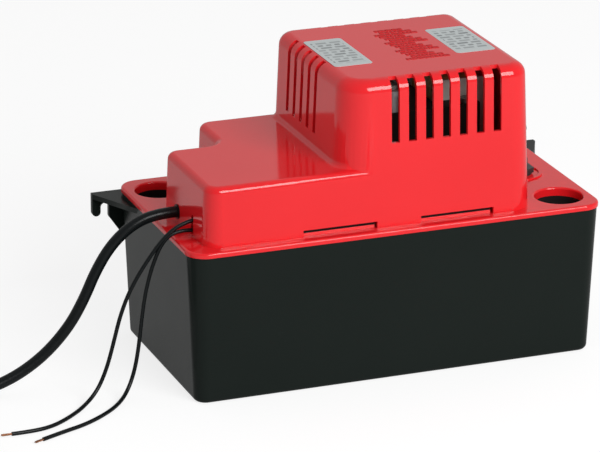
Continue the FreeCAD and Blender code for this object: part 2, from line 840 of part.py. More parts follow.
def hexagon(x, y, z0, z1, flat):
    points = [Vec(x + flat / sqrt(3) * cos(radians(a)), y + flat / sqrt(3) * sin(radians(a)), z0) for a in range(30, 391, 60)]
    return Part.Face(Part.makePolygon(points)).extrude(Vec(0, 0, z1 - z0))


def make_valve_body():
    z = valve_seat_z
    body_top = cover_top + valve_body_top
    stem = rod(valve_x, 0, tank_height - 0.2, z + 1, valve_body_radius)
    neck = rod(valve_x, 0, z, body_top, valve_body_radius)
    profile = [(0, body_top), (barb_root, body_top)]
    for i in range(barb_count):
        foot = body_top + 1.5 + i * barb_pitch
        profile += [(barb_root, foot), (barb_crest, foot), (barb_crest, foot + 0.8), (barb_root, foot + barb_pitch - 0.6)]
    top = body_top + 2.5 + barb_count * barb_pitch
    profile += [(barb_root, top - 0.6), (barb_root - 0.5, top), (0, top)]
    solid = fuse([stem, neck, hexagon(valve_x, 0, z, z + valve_flange, valve_flat), revolve(profile, valve_x, 0)])
    chamber = rod(valve_x, 0, tank_height + 0.8, body_top - 2, valve_chamber)
    return solid.cut(chamber).cut(rod(valve_x, 0, 0, top + 1, valve_bore))


def make_valve_poppet():
    z0 = tank_height + 0.8 + rest_gap
    profile = [(0, z0), (poppet_radius, z0), (poppet_radius, z0 + 1), (1.4, z0 + 2), (1.4, z0 + 4), (0, z0 + 4.6)]
    return revolve(profile, valve_x, 0)


def make_float():
    z0, z1 = float_bottom, float_bottom + float_height
    r = float_radius
    edge = 4.0
    profile = [(rod_radius + 0.1, z0), (r - edge, z0), (r - 1.2, z0 + 1.2), (r, z0 + edge), (r, z1 - edge)]
    profile += [(r - 1.2, z1 - 1.2), (r - edge, z1), (rod_radius + 0.1, z1)]
    return revolve(profile, float_x, 0)


def make_rod():
    z0 = float_bottom - collar_height - 3
    return revolve([(0, z0), (rod_radius, z0), (rod_radius, rod_top - 1), (rod_radius - 1, rod_top), (0, rod_top)], float_x, 0)


def make_collars():
    low = ring(float_x, 0, float_bottom - collar_height, float_bottom, collar_radius, rod_radius)
    z0 = float_bottom + float_height
    return Part.makeCompound([low, ring(float_x, 0, z0, z0 + collar_height, collar_radius, rod_radius)])


def across(x, z, y0, y1, radius):
    return Part.makeCylinder(radius, y1 - y0, Vec(x, y0, z), ALONG_Y)


def make_lever():
    """The lever that the float rod lifts; its off-centre hub is the cam that works both switches."""
    half = lever_hub_width / 2
    hub = across(pivot_x, pivot_z + cam_offset, -half, half, cam_radius)
    boss = across(pivot_x, pivot_z, -half, half, pin_radius + 1.6)
    z0, z1 = pivot_z - lever_thick / 2, pivot_z + lever_thick / 2
    arm = box(float_x - lever_over, -lever_width / 2, z0, pivot_x, lever_width / 2, z1)
    tip = [e for e in arm.Edges if e.BoundBox.ZLength > 1 and e.CenterOfMass.x < float_x]
    rib = box(float_x + 4, -1, z1 - 0.5, pivot_x, 1, z1 + 2)
    bore = across(pivot_x, pivot_z, -half - 1, half + 1, pin_radius + shaft_fit)
    return fuse([hub, boss, arm.makeFillet(lever_width / 2 - 0.5, tip), rib]).cut(bore)


def cheek_y():
    return lever_hub_width / 2 + cheek_gap


def switch_front():
    return pivot_x + cam_radius + rest_gap + 2.2


def switch_holes():
    x = switch_front() + switch_depth / 2
    z = cover_top + 3 + switch_tall / 2
    return [(x, z - 5), (x, z + 8)]


def bracket_screw_places():
    x = switch_front() + switch_depth / 2
    y = cheek_y() + sheet + 6
    return [(x, -y), (x, y)]


def make_bracket():
    """Folded sheet steel: two cheeks joined by a base, and two feet screwed to the cover."""
    y = cheek_y()
    x0 = pivot_x - 6
    x1 = switch_front() + switch_depth
    z1 = cover_top + switch_tall
    solids = [box(switch_front() - 1, -y - sheet, cover_top, x1, y + sheet, cover_top + sheet)]
    for s in (-1, 1):
        y0, y1 = sorted((s * y, s * (y + sheet)))
        points = [(x0, cover_top), (x1, cover_top), (x1, z1), (switch_front(), z1), (x0, pivot_z + 5)]
        face = Part.Face(Part.makePolygon([Vec(x, y0, z) for x, z in points + points[:1]]))
        solids.append(face.extrude(Vec(0, y1 - y0, 0)))
        f0, f1 = sorted((s * y, s * (y + sheet + 11)))
        foot_x = switch_front() + switch_depth / 2
        solids.append(box(foot_x - 6, f0, cover_top, foot_x + 6, f1, cover_top + sheet))
    cuts = [across(pivot_x, pivot_z, -y - 5, y + 5, pin_radius)]
    cuts += [across(x, z, -y - 5, y + 5, small_screw_radius + screw_fit) for x, z in switch_holes()]
    cuts += [rod(x, y, 0, cover_top + 5, small_screw_radius + screw_fit) for x, y in bracket_screw_places()]
    return fuse(solids).cut(Part.makeCompound(cuts))


def make_bracket_screws():
    z = cover_top + sheet
    return Part.makeCompound(
        [screw(x, y, z, sheet + 1.8, small_screw_radius, small_head_radius, small_head_height) for x, y in bracket_screw_places()]
    )


def make_lever_pin():
    y = cheek_y() + sheet
    pin = across(pivot_x, pivot_z, -y, y + 1, pin_radius)
    head = across(pivot_x, pivot_z, -y - 1.2, -y, pin_radius + 1)
    return fuse([pin, head])


def switch_y(side):
    near = cheek_y() - cheek_gap / 2
    return sorted((side * near, side * (near - switch_thick + 0.2)))


def make_switch(side):
    y0, y1 = switch_y(side)
    x0 = switch_front()
    z0 = cover_top + sheet + 0.3
    body = box(x0, y0, z0, x0 + switch_depth, y1, z0 + switch_tall)
    upright = [e for e in body.Edges if e.BoundBox.YLength > 1]
    body = body.makeFillet(1.2, upright)
    middle = (y0 + y1) / 2
    blades = []
    for dz in (4, 13, 22):
        blades.append(box(x0 + switch_depth - 1, middle - 2.4, z0 + dz, x0 + switch_depth + 6, middle + 2.4, z0 + dz + 0.8))
    z = cover_top + lever_pivot_rise + cam_offset
    hole = Part.makeCylinder(plunger_radius + 0.1, 6, Vec(x0 - 1, middle, z), ALONG_X)
    cuts = [hole] + [across(x, zz, y0 - 1, y1 + 1, small_screw_radius + screw_fit) for x, zz in switch_holes()]
    return fuse([body] + blades).cut(Part.makeCompound(cuts))


def make_plunger(side):
    y0, y1 = switch_y(side)
    x0 = pivot_x + cam_radius + rest_gap
    z = cover_top + lever_pivot_rise + cam_offset
    return Part.makeCylinder(plunger_radius, switch_front() + 3 - x0, Vec(x0, (y0 + y1) / 2, z), ALONG_X)


def make_switch_screws():
    y = cheek_y() + sheet
    solids = []
    for x, z in switch_holes():
        shank = across(x, z, -y, y + 2, small_screw_radius)
        head = across(x, z, -y - small_head_height, -y, small_head_radius)
        solids.append(fuse([shank, head]))
    return Part.makeCompound(solids)


def make_strain_relief():
    x0 = cord_exit.x
    r = relief_hole - 0.1
    inside = wall_inner_x + 0.6
    profile = [(0, x0), (r, x0), (r, inside), (r + relief_lip, inside), (r + relief_lip, inside + 2), (r, inside + 3), (r - 0.8, inside + 14), (0, inside + 14)]
    points = [Vec(x, cord_exit_y, cord_exit.z + rr) for rr, x in profile]
    return Part.Face(Part.makePolygon(points + points[:1])).revolve(Vec(x0, cord_exit_y, cord_exit.z), ALONG_X, 360)


def make_lead_grommet():
    z0, z1 = cover_top + 0.2, cover_top + lead_slot_top + 1.5
    return box(grommet_x, lead_exit_y - 4, z0, grommet_x + 3, lead_exit_y + 4, z1)


def tube_radii(points):
    """The radius of the arc at each inner point of a route."""
    found = []
    for a, b, c in zip(points, points[1:], points[2:]):
        turn = (b - a).getAngle(c - b)
        found.append(0.45 * min((b - a).Length, (c - b).Length) / tan(turn / 2))
    return found


def tube(name, points, diameter):
    """A plain tube on straight runs joined by tangent arcs; prints what a cord maker would ask."""
    edges = []
    last = points[0]
    for i, radius in enumerate(tube_radii(points)):
        a, b, c = points[i : i + 3]
        back = (a - b).normalize()
        on = (c - b).normalize()
        reach = 0.45 * min((b - a).Length, (c - b).Length)
        start = b + back * reach
        end = b + on * reach
        inward = (back + on).normalize()
        centre = b + inward * hypot(reach, radius)
        middle = centre - inward * radius
        edges.append(Part.makeLine(last, start))
        edges.append(Part.Arc(start, middle, end).toShape())
        last = end
    edges.append(Part.makeLine(last, points[-1]))
    path = Part.Wire(edges)
    first = (points[1] - points[0]).normalize()
    solid = tube_along(path, diameter / 2, points[0], first)
    share = solid.Volume / (path.Length * pi * diameter**2 / 4)
    tightest = min(tube_radii(points))
    print(name, "length", round(path.Length, 1), "tightest radius", round(tightest, 1), "volume share", round(share, 4))
    return solid


def cord_route():
    y = cord_exit_y
    across_floor = coil_centre[1] + coil_outer_turn()
    floor = cord_diameter / 2 + 0.05
    return [
        cord_exit,
        Vec(-127.5, y, 96.8),
        Vec(-141.0, y, 91.9),
        Vec(-153.0, y, 81.8),
        Vec(-162.3, y, 67.5),
        Vec(-169.4, y, 51.6),
        Vec(-178.5, y, 36.2),
        Vec(-192.5, y, 21.6),
        Vec(-209.0, y, 11.0),
        Vec(-226.5, y + 0.2, 4.9),
        Vec(-244.0, y + 0.9, floor),
        Vec(-261.0, y + 1.2, floor),
        Vec(-279.0, across_floor, floor),
        Vec(coil_centre[0], across_floor, floor),
    ]


def coil_outer_turn():
    return coil_middle_radius + cord_diameter + turn_gap


def tail_route():
    y = coil_centre[1] + coil_outer_turn()
    z = cord_diameter * 1.5 + 0.1
    x = coil_centre[0]
    return [
        Vec(x, y, z),
        Vec(x - 14, y + 0.2, z + 0.1),
        Vec(x - 29, y - 0.1, z - 0.6),
        Vec(x - 43, y - 0.7, z - 0.3),
        Vec(x - 56, y - 1.1, z + 1.3),
        plug_start() + Vec(plug_gap, 0, 0),
    ]


def plug_start():
    return Vec(coil_centre[0] - 68.0, coil_centre[1] + coil_outer_turn() - 1.2, plug_height / 2)


def make_coil():
    x, y = coil_centre
    half = (coil_columns * (cord_diameter + turn_gap)) / 2 + 0.3
    top = coil_layers * cord_diameter + 0.4
    edge = cord_diameter / 2
    inner, outer = coil_middle_radius - half, coil_middle_radius + half
    profile = [(inner + edge, 0), (outer - edge, 0), (outer - 1, 1), (outer, edge), (outer, top - edge), (outer - 1, top - 1)]
    profile += [(outer - edge, top), (inner + edge, top), (inner + 1, top - 1), (inner, top - edge), (inner, edge), (inner + 1, 1)]
    solid = revolve(profile, x, y)
    return solid.cut(make_power_cord()).cut(make_cord_tail())


def make_power_cord():
    return tube("power cord, free stretch", cord_route(), cord_diameter)


def make_cord_tail():
    return tube("power cord, plug end", tail_route(), cord_diameter)


def make_plug():
    """A moulded plug: a tapered sleeve on the cord and a body that widens to its face."""
    start = plug_start()
    y, z = start.y, start.z
    x1 = start.x - plug_relief
    sleeve = Part.makeCone(cord_diameter / 2 + 0.6, 6.0, plug_relief, start, Vec(-1, 0, 0))
    grooves = []
    for i in range(4):
        x = start.x - 5 - i * 3.6
        grooves.append(Part.makeCylinder(12, 1.2, Vec(x, y, z), Vec(-1, 0, 0)).cut(Part.makeCylinder(3.9 + i * 0.45, 1.2, Vec(x, y, z), Vec(-1, 0, 0))))
    x2 = x1 - plug_length
    narrow = Part.Wire(Part.makeCircle(6.4, Vec(x1 + 0.5, y, z), ALONG_X))
    body = fuse([plug_body(x1, x2, y, z)])
    return fuse([sleeve.cut(Part.makeCompound(grooves)), body])


def plug_body(x1, x2, y, z):
    shoulder = x1 - 11
    back = box(shoulder - 12, y - plug_width / 2 + 3, z - plug_height / 2 + 2, x1, y + plug_width / 2 - 3, z + plug_height / 2 - 2)
    back = back.makeFillet(4.5, [e for e in back.Edges if e.BoundBox.XLength > 1])
    front = box(x2, y - plug_width / 2, z - plug_height / 2, shoulder, y + plug_width / 2, z + plug_height / 2)
    front = front.makeFillet(5.0, [e for e in front.Edges if e.BoundBox.XLength > 1])
    front = front.makeFillet(1.5, [e for e in front.Edges if e.BoundBox.XLength < 0.01 and e.CenterOfMass.x > shoulder - 0.1])
    return fuse([back, front])


def plug_face():
    start = plug_start()
    return start.x - plug_relief - plug_length, start.y, start.z + 3.6


def make_plug_blades():
    x, y, z = plug_face()
    blades = []
    for s in (-1, 1):
        middle = y + s * blade_spread / 2
        blade = box(x - blade_length, middle - blade_thick / 2, z - blade_width / 2, x, middle + blade_thick / 2, z + blade_width / 2)
        hole = Part.makeCylinder(1.6, 4, Vec(x - blade_length + 3.6, middle - 2, z), ALONG_Y)
        blades.append(blade.cut(hole))
    return Part.makeCompound(blades)


def make_ground_pin():
    x, y, z = plug_face()
    pin = Part.makeCylinder(ground_radius, ground_length, Vec(x, y, z - ground_drop), Vec(-1, 0, 0))
    return pin.makeFillet(1.2, [e for e in pin.Edges if abs(e.CenterOfMass.x - (x - ground_length)) < 0.01])


def upper_lead_route():
    y = lead_exit_y
    floor = lead_diameter / 2 + 0.05
    return [
        Vec(lead_start_x, y, cover_top + lead_upper_rise),
        Vec(-120.5, y, 98.7),
        Vec(-130.2, y, 91.8),
        Vec(-140.4, y, 79.2),
        Vec(-149.9, y, 64.5),
        Vec(-156.2, y, 49.5),
        Vec(-160.4, y, 33.5),
        Vec(-164.6, y, 18.5),
        Vec(-171.0, y - 2.2, 6.8),
        Vec(-181.0, y - 9.0, floor + 0.1),
        Vec(-193.5, y - 21.0, floor),
        Vec(-206.0, y - 29.8, floor),
        Vec(-218.6, y - 32.6, floor),
        Vec(-230.0, y - 32.2, floor),
    ]


def lower_lead_route():
    y = lead_exit_y
    floor = lead_diameter / 2 + 0.05
    return [
        Vec(lead_start_x, y, cover_top + lead_lower_rise),
        Vec(-121.3, y, 95.4),
        Vec(-130.8, y, 90.3),
        Vec(-137.4, y, 76.0),
        Vec(-141.7, y, 60.0),
        Vec(-144.1, y, 43.5),
        Vec(-145.9, y, 27.5),
        Vec(-149.0, y - 0.8, 13.5),
        Vec(-154.8, y - 4.8, 3.9),
        Vec(-163.0, y - 13.5, floor),
        Vec(-174.5, y - 24.3, floor),
        Vec(-188.4, y - 33.6, floor),
        Vec(-202.6, y - 39.2, floor),
        Vec(-216.0, y - 45.3, floor),
    ]


def make_strands():
    solids = []
    for route in (upper_lead_route(), lower_lead_route()):
        direction = (route[-1] - route[-2]).normalize()
        solids.append(Part.makeCylinder(strand_radius, strand_length, route[-1], direction))
    return Part.makeCompound(solids)


nodes = {
    "tank": make_tank,
    "cover_plate": make_cover,
    "motor_housing": make_housing,
    "stator_laminations": make_laminations,
    "shading_rings": make_shading_rings,
    "coil_bobbin": make_bobbin,
    "coil_winding": make_winding,
    "lower_bearing_bracket": make_lower_bracket,
    "upper_bearing_bracket": make_upper_bracket,
    "shaft_bearings": make_bearings,
    "motor_screws": make_motor_screws,
    "rotor_core": make_rotor,
    "motor_shaft": make_shaft,
    "cooling_fan": make_fan,
    "water_slinger": make_slinger,
    "pump_impeller": make_impeller,
    "pump_column": make_column,
    "column_screws": make_column_screws,
    "pump_volute": make_volute,
    "suction_plate": make_suction_plate,
    "volute_screws": make_volute_screws,
    "discharge_pipe": make_discharge_pipe,
    "check_valve_body": make_valve_body,
    "check_valve_seal": lambda: ring(valve_x, 0, cover_top, valve_seat_z, valve_flat / 2, valve_body_radius + socket_fit),
    "check_valve_poppet": make_valve_poppet,
    "float": make_float,
    "float_rod": make_rod,
    "float_collars": make_collars,
    "float_lever": make_lever,
    "lever_pin": make_lever_pin,
    "switch_bracket": make_bracket,
    "bracket_screws": make_bracket_screws,
    "pump_switch": lambda: make_switch(-1),
    "safety_switch": lambda: make_switch(1),
    "pump_switch_plunger": lambda: make_plunger(-1),
    "safety_switch_plunger": lambda: make_plunger(1),
    "switch_screws": make_switch_screws,
    "strain_relief": make_strain_relief,
    "lead_grommet": make_lead_grommet,
    "power_cord": make_power_cord,
    "power_cord_coil": make_coil,
    "power_cord_end": make_cord_tail,
    "power_plug": make_plug,
    "plug_blades": make_plug_blades,
    "plug_ground_pin": make_ground_pin,
    "safety_lead_upper": lambda: tube("upper safety lead", upper_lead_route(), lead_diameter),
    "safety_lead_lower": lambda: tube("lower safety lead", lower_lead_route(), lead_diameter),
    "lead_strands": make_strands,
}

for name, make in nodes.items():
    shape = make()
    if not shape.isValid():
        print("not valid:", name)
    print(name, "solids", len(shape.Solids), "volume", round(shape.Volume, 1))
    shape.exportStep("parts/" + name + ".step")
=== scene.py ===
# %% [markdown]
# # A condensate pump in red and black
# This lesson dresses a small pump that lifts the water an air conditioner drips. A glossy red
# cover and motor housing clip onto a satin black tank. The rigid pieces come ready made, at
# their real size, so this file adds what a mould, a press or a cable maker would leave on them:
# the finish of each surface, the labels, and the cords at their true length. It also draws the
# three outer shells again, closer to the picture.

# %% Load the ready made pieces
import json
from math import cos, pi, radians, sin

import bmesh
import bpy
from mathutils import Matrix, Vector


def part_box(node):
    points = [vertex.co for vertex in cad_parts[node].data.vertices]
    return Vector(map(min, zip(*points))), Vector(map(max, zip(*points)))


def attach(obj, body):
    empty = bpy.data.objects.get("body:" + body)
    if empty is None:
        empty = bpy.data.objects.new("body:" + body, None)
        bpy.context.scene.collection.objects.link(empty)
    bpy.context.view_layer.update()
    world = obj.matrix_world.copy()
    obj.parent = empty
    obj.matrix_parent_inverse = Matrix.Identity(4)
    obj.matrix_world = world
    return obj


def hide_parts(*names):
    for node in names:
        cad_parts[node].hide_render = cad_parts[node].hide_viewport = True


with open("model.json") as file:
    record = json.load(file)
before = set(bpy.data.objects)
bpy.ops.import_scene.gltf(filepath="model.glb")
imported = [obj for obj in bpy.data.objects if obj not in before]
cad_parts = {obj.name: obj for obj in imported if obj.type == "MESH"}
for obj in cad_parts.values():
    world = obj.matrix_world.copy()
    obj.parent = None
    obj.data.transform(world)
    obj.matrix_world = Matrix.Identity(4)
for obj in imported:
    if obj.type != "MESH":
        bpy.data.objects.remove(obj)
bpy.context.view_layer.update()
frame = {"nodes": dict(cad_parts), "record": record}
nodes = frame["nodes"]
MM = 0.001

# %% [markdown]
# ## The camera
# The picture was taken from a little to the left and above, with a long lens, so the upright
# edges hardly lean together. The place and turn below were worked out from the edges of the
# cover. A camera looks down its own negative Z, so its three axes are written out as columns.


# %% Put an object in the scene
def linked(name, data):
    obj = bpy.data.objects.new(name, data)
    bpy.context.scene.collection.objects.link(obj)
    return obj


# %% Camera
CAMERA_PLACE = Vector((-742.5, -1843.9, 785.3)) * MM
LOOK = Vector((0.3367, 0.8787, -0.3385)).normalized()
ROLL = radians(0.187)
LENS_MM = 219.5

level_right = LOOK.cross(Vector((0, 0, 1))).normalized()
level_up = level_right.cross(LOOK)
right = level_right * cos(ROLL) + level_up * sin(ROLL)
up = level_up * cos(ROLL) - level_right * sin(ROLL)
camera_data = bpy.data.cameras.new("camera")
camera_data.lens = LENS_MM
camera_data.sensor_width = 36.0
camera = linked("camera", camera_data)
turn = Matrix((right, up, -LOOK)).transposed().to_4x4()
camera.matrix_world = Matrix.Translation(CAMERA_PLACE) @ turn
bpy.context.scene.camera = camera
bpy.context.scene.view_settings.view_transform = "Standard"
print("camera", round(CAMERA_PLACE.length, 3), "m away")

# %% [markdown]
# ## The cords
# A cord is one smooth line with a round section. A spline of order three runs near each point
# of a route without touching it, which gives the slow bends of a rubber jacket. The order and
# the end setting come after the points, because they are lost otherwise. The bevel is one unit
# deep and each point's radius scales it down, so the curve's own bounds stay close to it.


# %% A cord from its route
def cord_curve(name, route, diameter):
    data = bpy.data.curves.new(name, "CURVE")
    data.dimensions = "3D"
    data.bevel_depth = 1.0
    data.bevel_resolution = 5
    data.resolution_u = 8
    data.use_fill_caps = True
    spline = data.splines.new("NURBS")
    spline.points.add(len(route) - 1)
    for point, place in zip(spline.points, route):
        point.co = (*place, 1.0)
        point.radius = diameter / 2
    spline.order_u = 3
    spline.use_endpoint_u = True
    return linked(name, data)


def metres(points):
    return [Vector(p) * MM for p in points]


# %% [markdown]
# The mains lead leaves the low end of the housing, falls in an S to the table and runs out of
# the picture. The rest of its 1.8 m is wound up where the camera does not look. A real coil is
# wound in layers: three turns side by side, going inwards, and three on top of them, going
# outwards. Each turn steps sideways once per lap, and never lies in its neighbour.

# %% Power cord
CORD = 6.5 * MM
EXIT_Y = -10.0
EXIT_Z = 96.8
FLOOR_Z = 3.3
COIL_X, COIL_Y = -296.0, -54.7
COIL_MIDDLE = 40.0
STEP = 6.65
OUTER_TURN = COIL_MIDDLE + STEP
POINTS_PER_TURN = 24
TURNS = 6
SPLINE_PULL = cos(pi / POINTS_PER_TURN)

free_route = [
    (-114.3, EXIT_Y, EXIT_Z),
    (-127.5, EXIT_Y, 96.8),
    (-141.0, EXIT_Y, 91.9),
    (-153.0, EXIT_Y, 81.8),
    (-162.3, EXIT_Y, 67.5),
    (-169.4, EXIT_Y, 51.6),
    (-178.5, EXIT_Y, 36.2),
    (-192.5, EXIT_Y, 21.6),
    (-209.0, EXIT_Y, 11.0),
    (-226.5, EXIT_Y + 0.2, 4.9),
    (-244.0, EXIT_Y + 0.9, FLOOR_Z),
    (-261.0, EXIT_Y + 1.2, FLOOR_Z),
    (-279.0, COIL_Y + OUTER_TURN, FLOOR_Z),
    (COIL_X, COIL_Y + OUTER_TURN, FLOOR_Z),
]


def ease(lap, start, end):
    """0 before start, 1 after end, and a smooth step between them."""
    share = max(0.0, min(1.0, (lap - start) / (end - start)))
    return share * share * (3 - 2 * share)


def coil_place(lap):
    """Where the cord lies after so many laps: three turns inwards, then three outwards on top."""
    inwards = ease(lap, 0.8, 1.0) + ease(lap, 1.8, 2.0)
    outwards = ease(lap, 3.7, 3.9) + ease(lap, 4.7, 4.9) + ease(lap, 5.7, 5.9)
    climb = ease(lap, 2.8, 3.0)
    rolling = pi / 2 * climb
    # the climbing turn rolls over its neighbour, which moves in below it at the same time
    tuck = 1 - climb - cos(rolling) if climb < 1 else 0.0
    radius = OUTER_TURN + STEP * (outwards - inwards + tuck)
    z = FLOOR_Z + STEP * sin(rolling)
    angle = pi / 2 + 2 * pi * lap
    reach = radius / SPLINE_PULL
    return COIL_X + reach * cos(angle), COIL_Y + reach * sin(angle), z


coil_route = [coil_place(i / POINTS_PER_TURN) for i in range(1, TURNS * POINTS_PER_TURN)]
top_z = FLOOR_Z + STEP
tail_route = [
    (COIL_X, COIL_Y + OUTER_TURN + STEP, top_z),
    (COIL_X - 14, -3.4, top_z),
    (COIL_X - 29, -6.2, 9.4),
    (COIL_X - 43, -8.4, 9.6),
    (COIL_X - 56, -9.15, 11.15),
    (COIL_X - 67.85, -9.25, 11.5),
]
cord_route = free_route + coil_route + tail_route
power_cord = cord_curve("power_cord_jacket", metres(cord_route), CORD)
print("power cord has", len(cord_route), "points")

# %% [markdown]
# The two thin leads go to a safety switch circuit. They drop in front of the mains lead, fan
# out over the table and end in a few millimetres of bare copper strands.

# %% Safety leads
LEAD = 2.3 * MM
LEAD_Y = -35.0
LEAD_FLOOR = 1.2
LEAD_START_X = -111.3
UPPER_Z, LOWER_Z = 100.2, 93.8

upper_route = [
    (LEAD_START_X, LEAD_Y, UPPER_Z),
    (-120.5, LEAD_Y, 98.7),
    (-130.2, LEAD_Y, 91.8),
    (-140.4, LEAD_Y, 79.2),
    (-149.9, LEAD_Y, 64.5),
    (-156.2, LEAD_Y, 49.5),
    (-160.4, LEAD_Y, 33.5),
    (-164.6, LEAD_Y, 18.5),
    (-171.0, LEAD_Y - 2.2, 6.8),
    (-181.0, LEAD_Y - 9.0, LEAD_FLOOR + 0.1),
    (-193.5, LEAD_Y - 21.0, LEAD_FLOOR),
    (-206.0, LEAD_Y - 29.8, LEAD_FLOOR),
    (-218.6, LEAD_Y - 32.6, LEAD_FLOOR),
    (-230.0, LEAD_Y - 32.2, LEAD_FLOOR),
]
lower_route = [
    (LEAD_START_X, LEAD_Y, LOWER_Z),
    (-121.3, LEAD_Y, 95.4),
    (-130.8, LEAD_Y, 90.3),
    (-137.4, LEAD_Y, 76.0),
    (-141.7, LEAD_Y, 60.0),
    (-144.1, LEAD_Y, 43.5),
    (-145.9, LEAD_Y, 27.5),
    (-149.0, LEAD_Y - 0.8, 13.5),
    (-154.8, LEAD_Y - 4.8, 3.9),
    (-163.0, LEAD_Y - 13.5, LEAD_FLOOR),
    (-174.5, LEAD_Y - 24.3, LEAD_FLOOR),
    (-188.4, LEAD_Y - 33.6, LEAD_FLOOR),
    (-202.6, LEAD_Y - 39.2, LEAD_FLOOR),
    (-216.0, LEAD_Y - 45.3, LEAD_FLOOR),
]
upper_lead = cord_curve("safety_lead_upper_jacket", metres(upper_route), LEAD)
lower_lead = cord_curve("safety_lead_lower_jacket", metres(lower_route), LEAD)
print("leads:", len(upper_route), "and", len(lower_route), "points")


# %% [markdown]
# Stripped strands are never one rod. Seven thin wires, laid in a slow twist around one another
# and fanned a little at the tip, catch the light as copper does. They follow the last stretch
# of each lead, so they start inside its jacket.

# %% Copper strands
STRAND = 0.42 * MM
STRAND_REACH = 6.5 * MM
STRAND_RING = 0.44 * MM
STRAND_STEPS = 8
TWIST = 0.45
FAN_OUT = 0.25


def strands(name, route):
    """Six wires twisted round a seventh, from just inside the end of a route."""
    tip, before = Vector(route[-1]) * MM, Vector(route[-2]) * MM
    along = (tip - before).normalized()
    side = along.cross(Vector((0, 0, 1))).normalized()
    over = side.cross(along)
    data = bpy.data.curves.new(name, "CURVE")
    data.dimensions = "3D"
    data.bevel_depth = 1.0
    data.bevel_resolution = 2
    data.use_fill_caps = True
    for wire in range(7):
        spline = data.splines.new("POLY")
        spline.points.add(STRAND_STEPS)
        ring = 0.0 if wire == 6 else STRAND_RING
        for k, point in enumerate(spline.points):
            share = k / STRAND_STEPS
            angle = 2 * pi * (wire / 6 + TWIST * share)
            spread = ring * (1 + FAN_OUT * share)
            reach = STRAND_REACH * share * (1 - 0.04 * (wire % 3))
            place = tip - along * 0.5 * MM + along * reach
            place += side * spread * cos(angle) + over * spread * 0.9 * sin(angle)
            point.co = (*place, 1.0)
            point.radius = STRAND / 2
    return linked(name, data)


upper_strands = strands("safety_lead_upper_strands", upper_route)
lower_strands = strands("safety_lead_lower_strands", lower_route)
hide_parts("lead_strands")
for piece in (upper_strands, lower_strands):
    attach(piece, "root")

# %% [markdown]
# Two wire ties hold the coil. Each is a narrow flat band that goes round the whole bundle of
# turns. It is drawn as a rounded rectangle in the plane that cuts the coil across, and then
# given a width along the turns.


# %% Coil ties
TIE_THICK = 0.5
TIE_WIDE = 3.2
TIE_CORNER = 2.6
TIE_LOW = TIE_THICK + 0.05
TIE_TOP = FLOOR_Z + STEP + 3.7
TIE_IN = COIL_MIDDLE - STEP - 3.4
TIE_OUT = COIL_MIDDLE + STEP + 3.4


def mesh_object(name, bm):
    mesh = bpy.data.meshes.new(name)
    bm.to_mesh(mesh)
    bm.free()
    return linked(name, mesh)


def solid(name, bm):
    """Turns all faces outwards first."""
    bmesh.ops.recalc_face_normals(bm, faces=bm.faces)
    return mesh_object(name, bm)


def band(name, angle):
    """A closed flat band round the section of the coil at an angle."""
    bm = bmesh.new()
    middle_r, middle_z = (TIE_IN + TIE_OUT) / 2, (TIE_LOW + TIE_TOP) / 2
    half_r, half_z = (TIE_OUT - TIE_IN) / 2, (TIE_TOP - TIE_LOW) / 2
    outline = []
    for cx, cz, start_angle in ((1, 1, 0), (-1, 1, 90), (-1, -1, 180), (1, -1, 270)):
        for k in range(7):
            a = radians(start_angle + 15 * k)
            r = cx * (half_r - TIE_CORNER) + TIE_CORNER * cos(a)
            z = cz * (half_z - TIE_CORNER) + TIE_CORNER * sin(a)
            outline.append((r, z, a))
    rings = []
    for offset, side in ((0, -1), (0, 1), (TIE_THICK, 1), (TIE_THICK, -1)):
        ring = []
        for r, z, a in outline:
            rr = middle_r + r + offset * cos(a)
            zz = middle_z + z + offset * sin(a)
            x = COIL_X + rr * cos(angle) - side * TIE_WIDE / 2 * sin(angle)
            y = COIL_Y + rr * sin(angle) + side * TIE_WIDE / 2 * cos(angle)
            ring.append(bm.verts.new((x * MM, y * MM, zz * MM)))
        rings.append(ring)
    for k in range(4):
        a, b = rings[k], rings[(k + 1) % 4]
        for i in range(len(outline)):
            j = (i + 1) % len(outline)
            bm.faces.new((a[i], a[j], b[j], b[i]))
    return solid(name, bm)


ties = [band("coil_tie_left", radians(190)), band("coil_tie_right", radians(300))]
print("ties:", [t.name for t in ties])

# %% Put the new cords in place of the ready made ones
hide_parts("power_cord", "power_cord_coil", "power_cord_end")
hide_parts("safety_lead_upper")
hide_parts("safety_lead_lower")
for piece in (power_cord, upper_lead, lower_lead, *ties):
    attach(piece, "root")

# %% [markdown]
# ## The outer shells
# The tank, the cover and the motor housing are three mouldings, and they are what the eye meets
# first. Closer measures of the picture gave their outlines after the ready made shells were
# fixed, so the three are drawn again here and stand for the ready made ones. A moulding could be
# a bevelled box, but its walls lean and its corners differ. So it is a stack of rings: each ring
# is the same plan with round corners, moved inwards as the wall leans, and faster where the edge
# rounds over. All sizes are in millimetres, and each shell is scaled once, at the end.

# %% Rings from a plan
CORNER_STEPS = 10
EDGE_STEPS = 6


def quarter(steps):
    """Angles that share out a quarter turn."""
    return [pi / 2 * k / steps for k in range(steps + 1)]


def plan_ring(plan, inset):
    """The outline of a plan of square corners (x, y, radius), with every side moved inwards."""
    points = []
    turns = quarter(CORNER_STEPS)
    for i, (x, y, radius) in enumerate(plan):
        here = Vector((x, y))
        along = (here - Vector(plan[i - 1][:2])).normalized()
        onward = (Vector(plan[(i + 1) % len(plan)][:2]) - here).normalized()
        convex = along.x * onward.y > along.y * onward.x
        centre = here + (onward - along) * radius
        reach = radius - inset if convex else radius + inset
        points += [centre + (along * sin(a) - onward * cos(a)) * reach for a in turns]
    return points


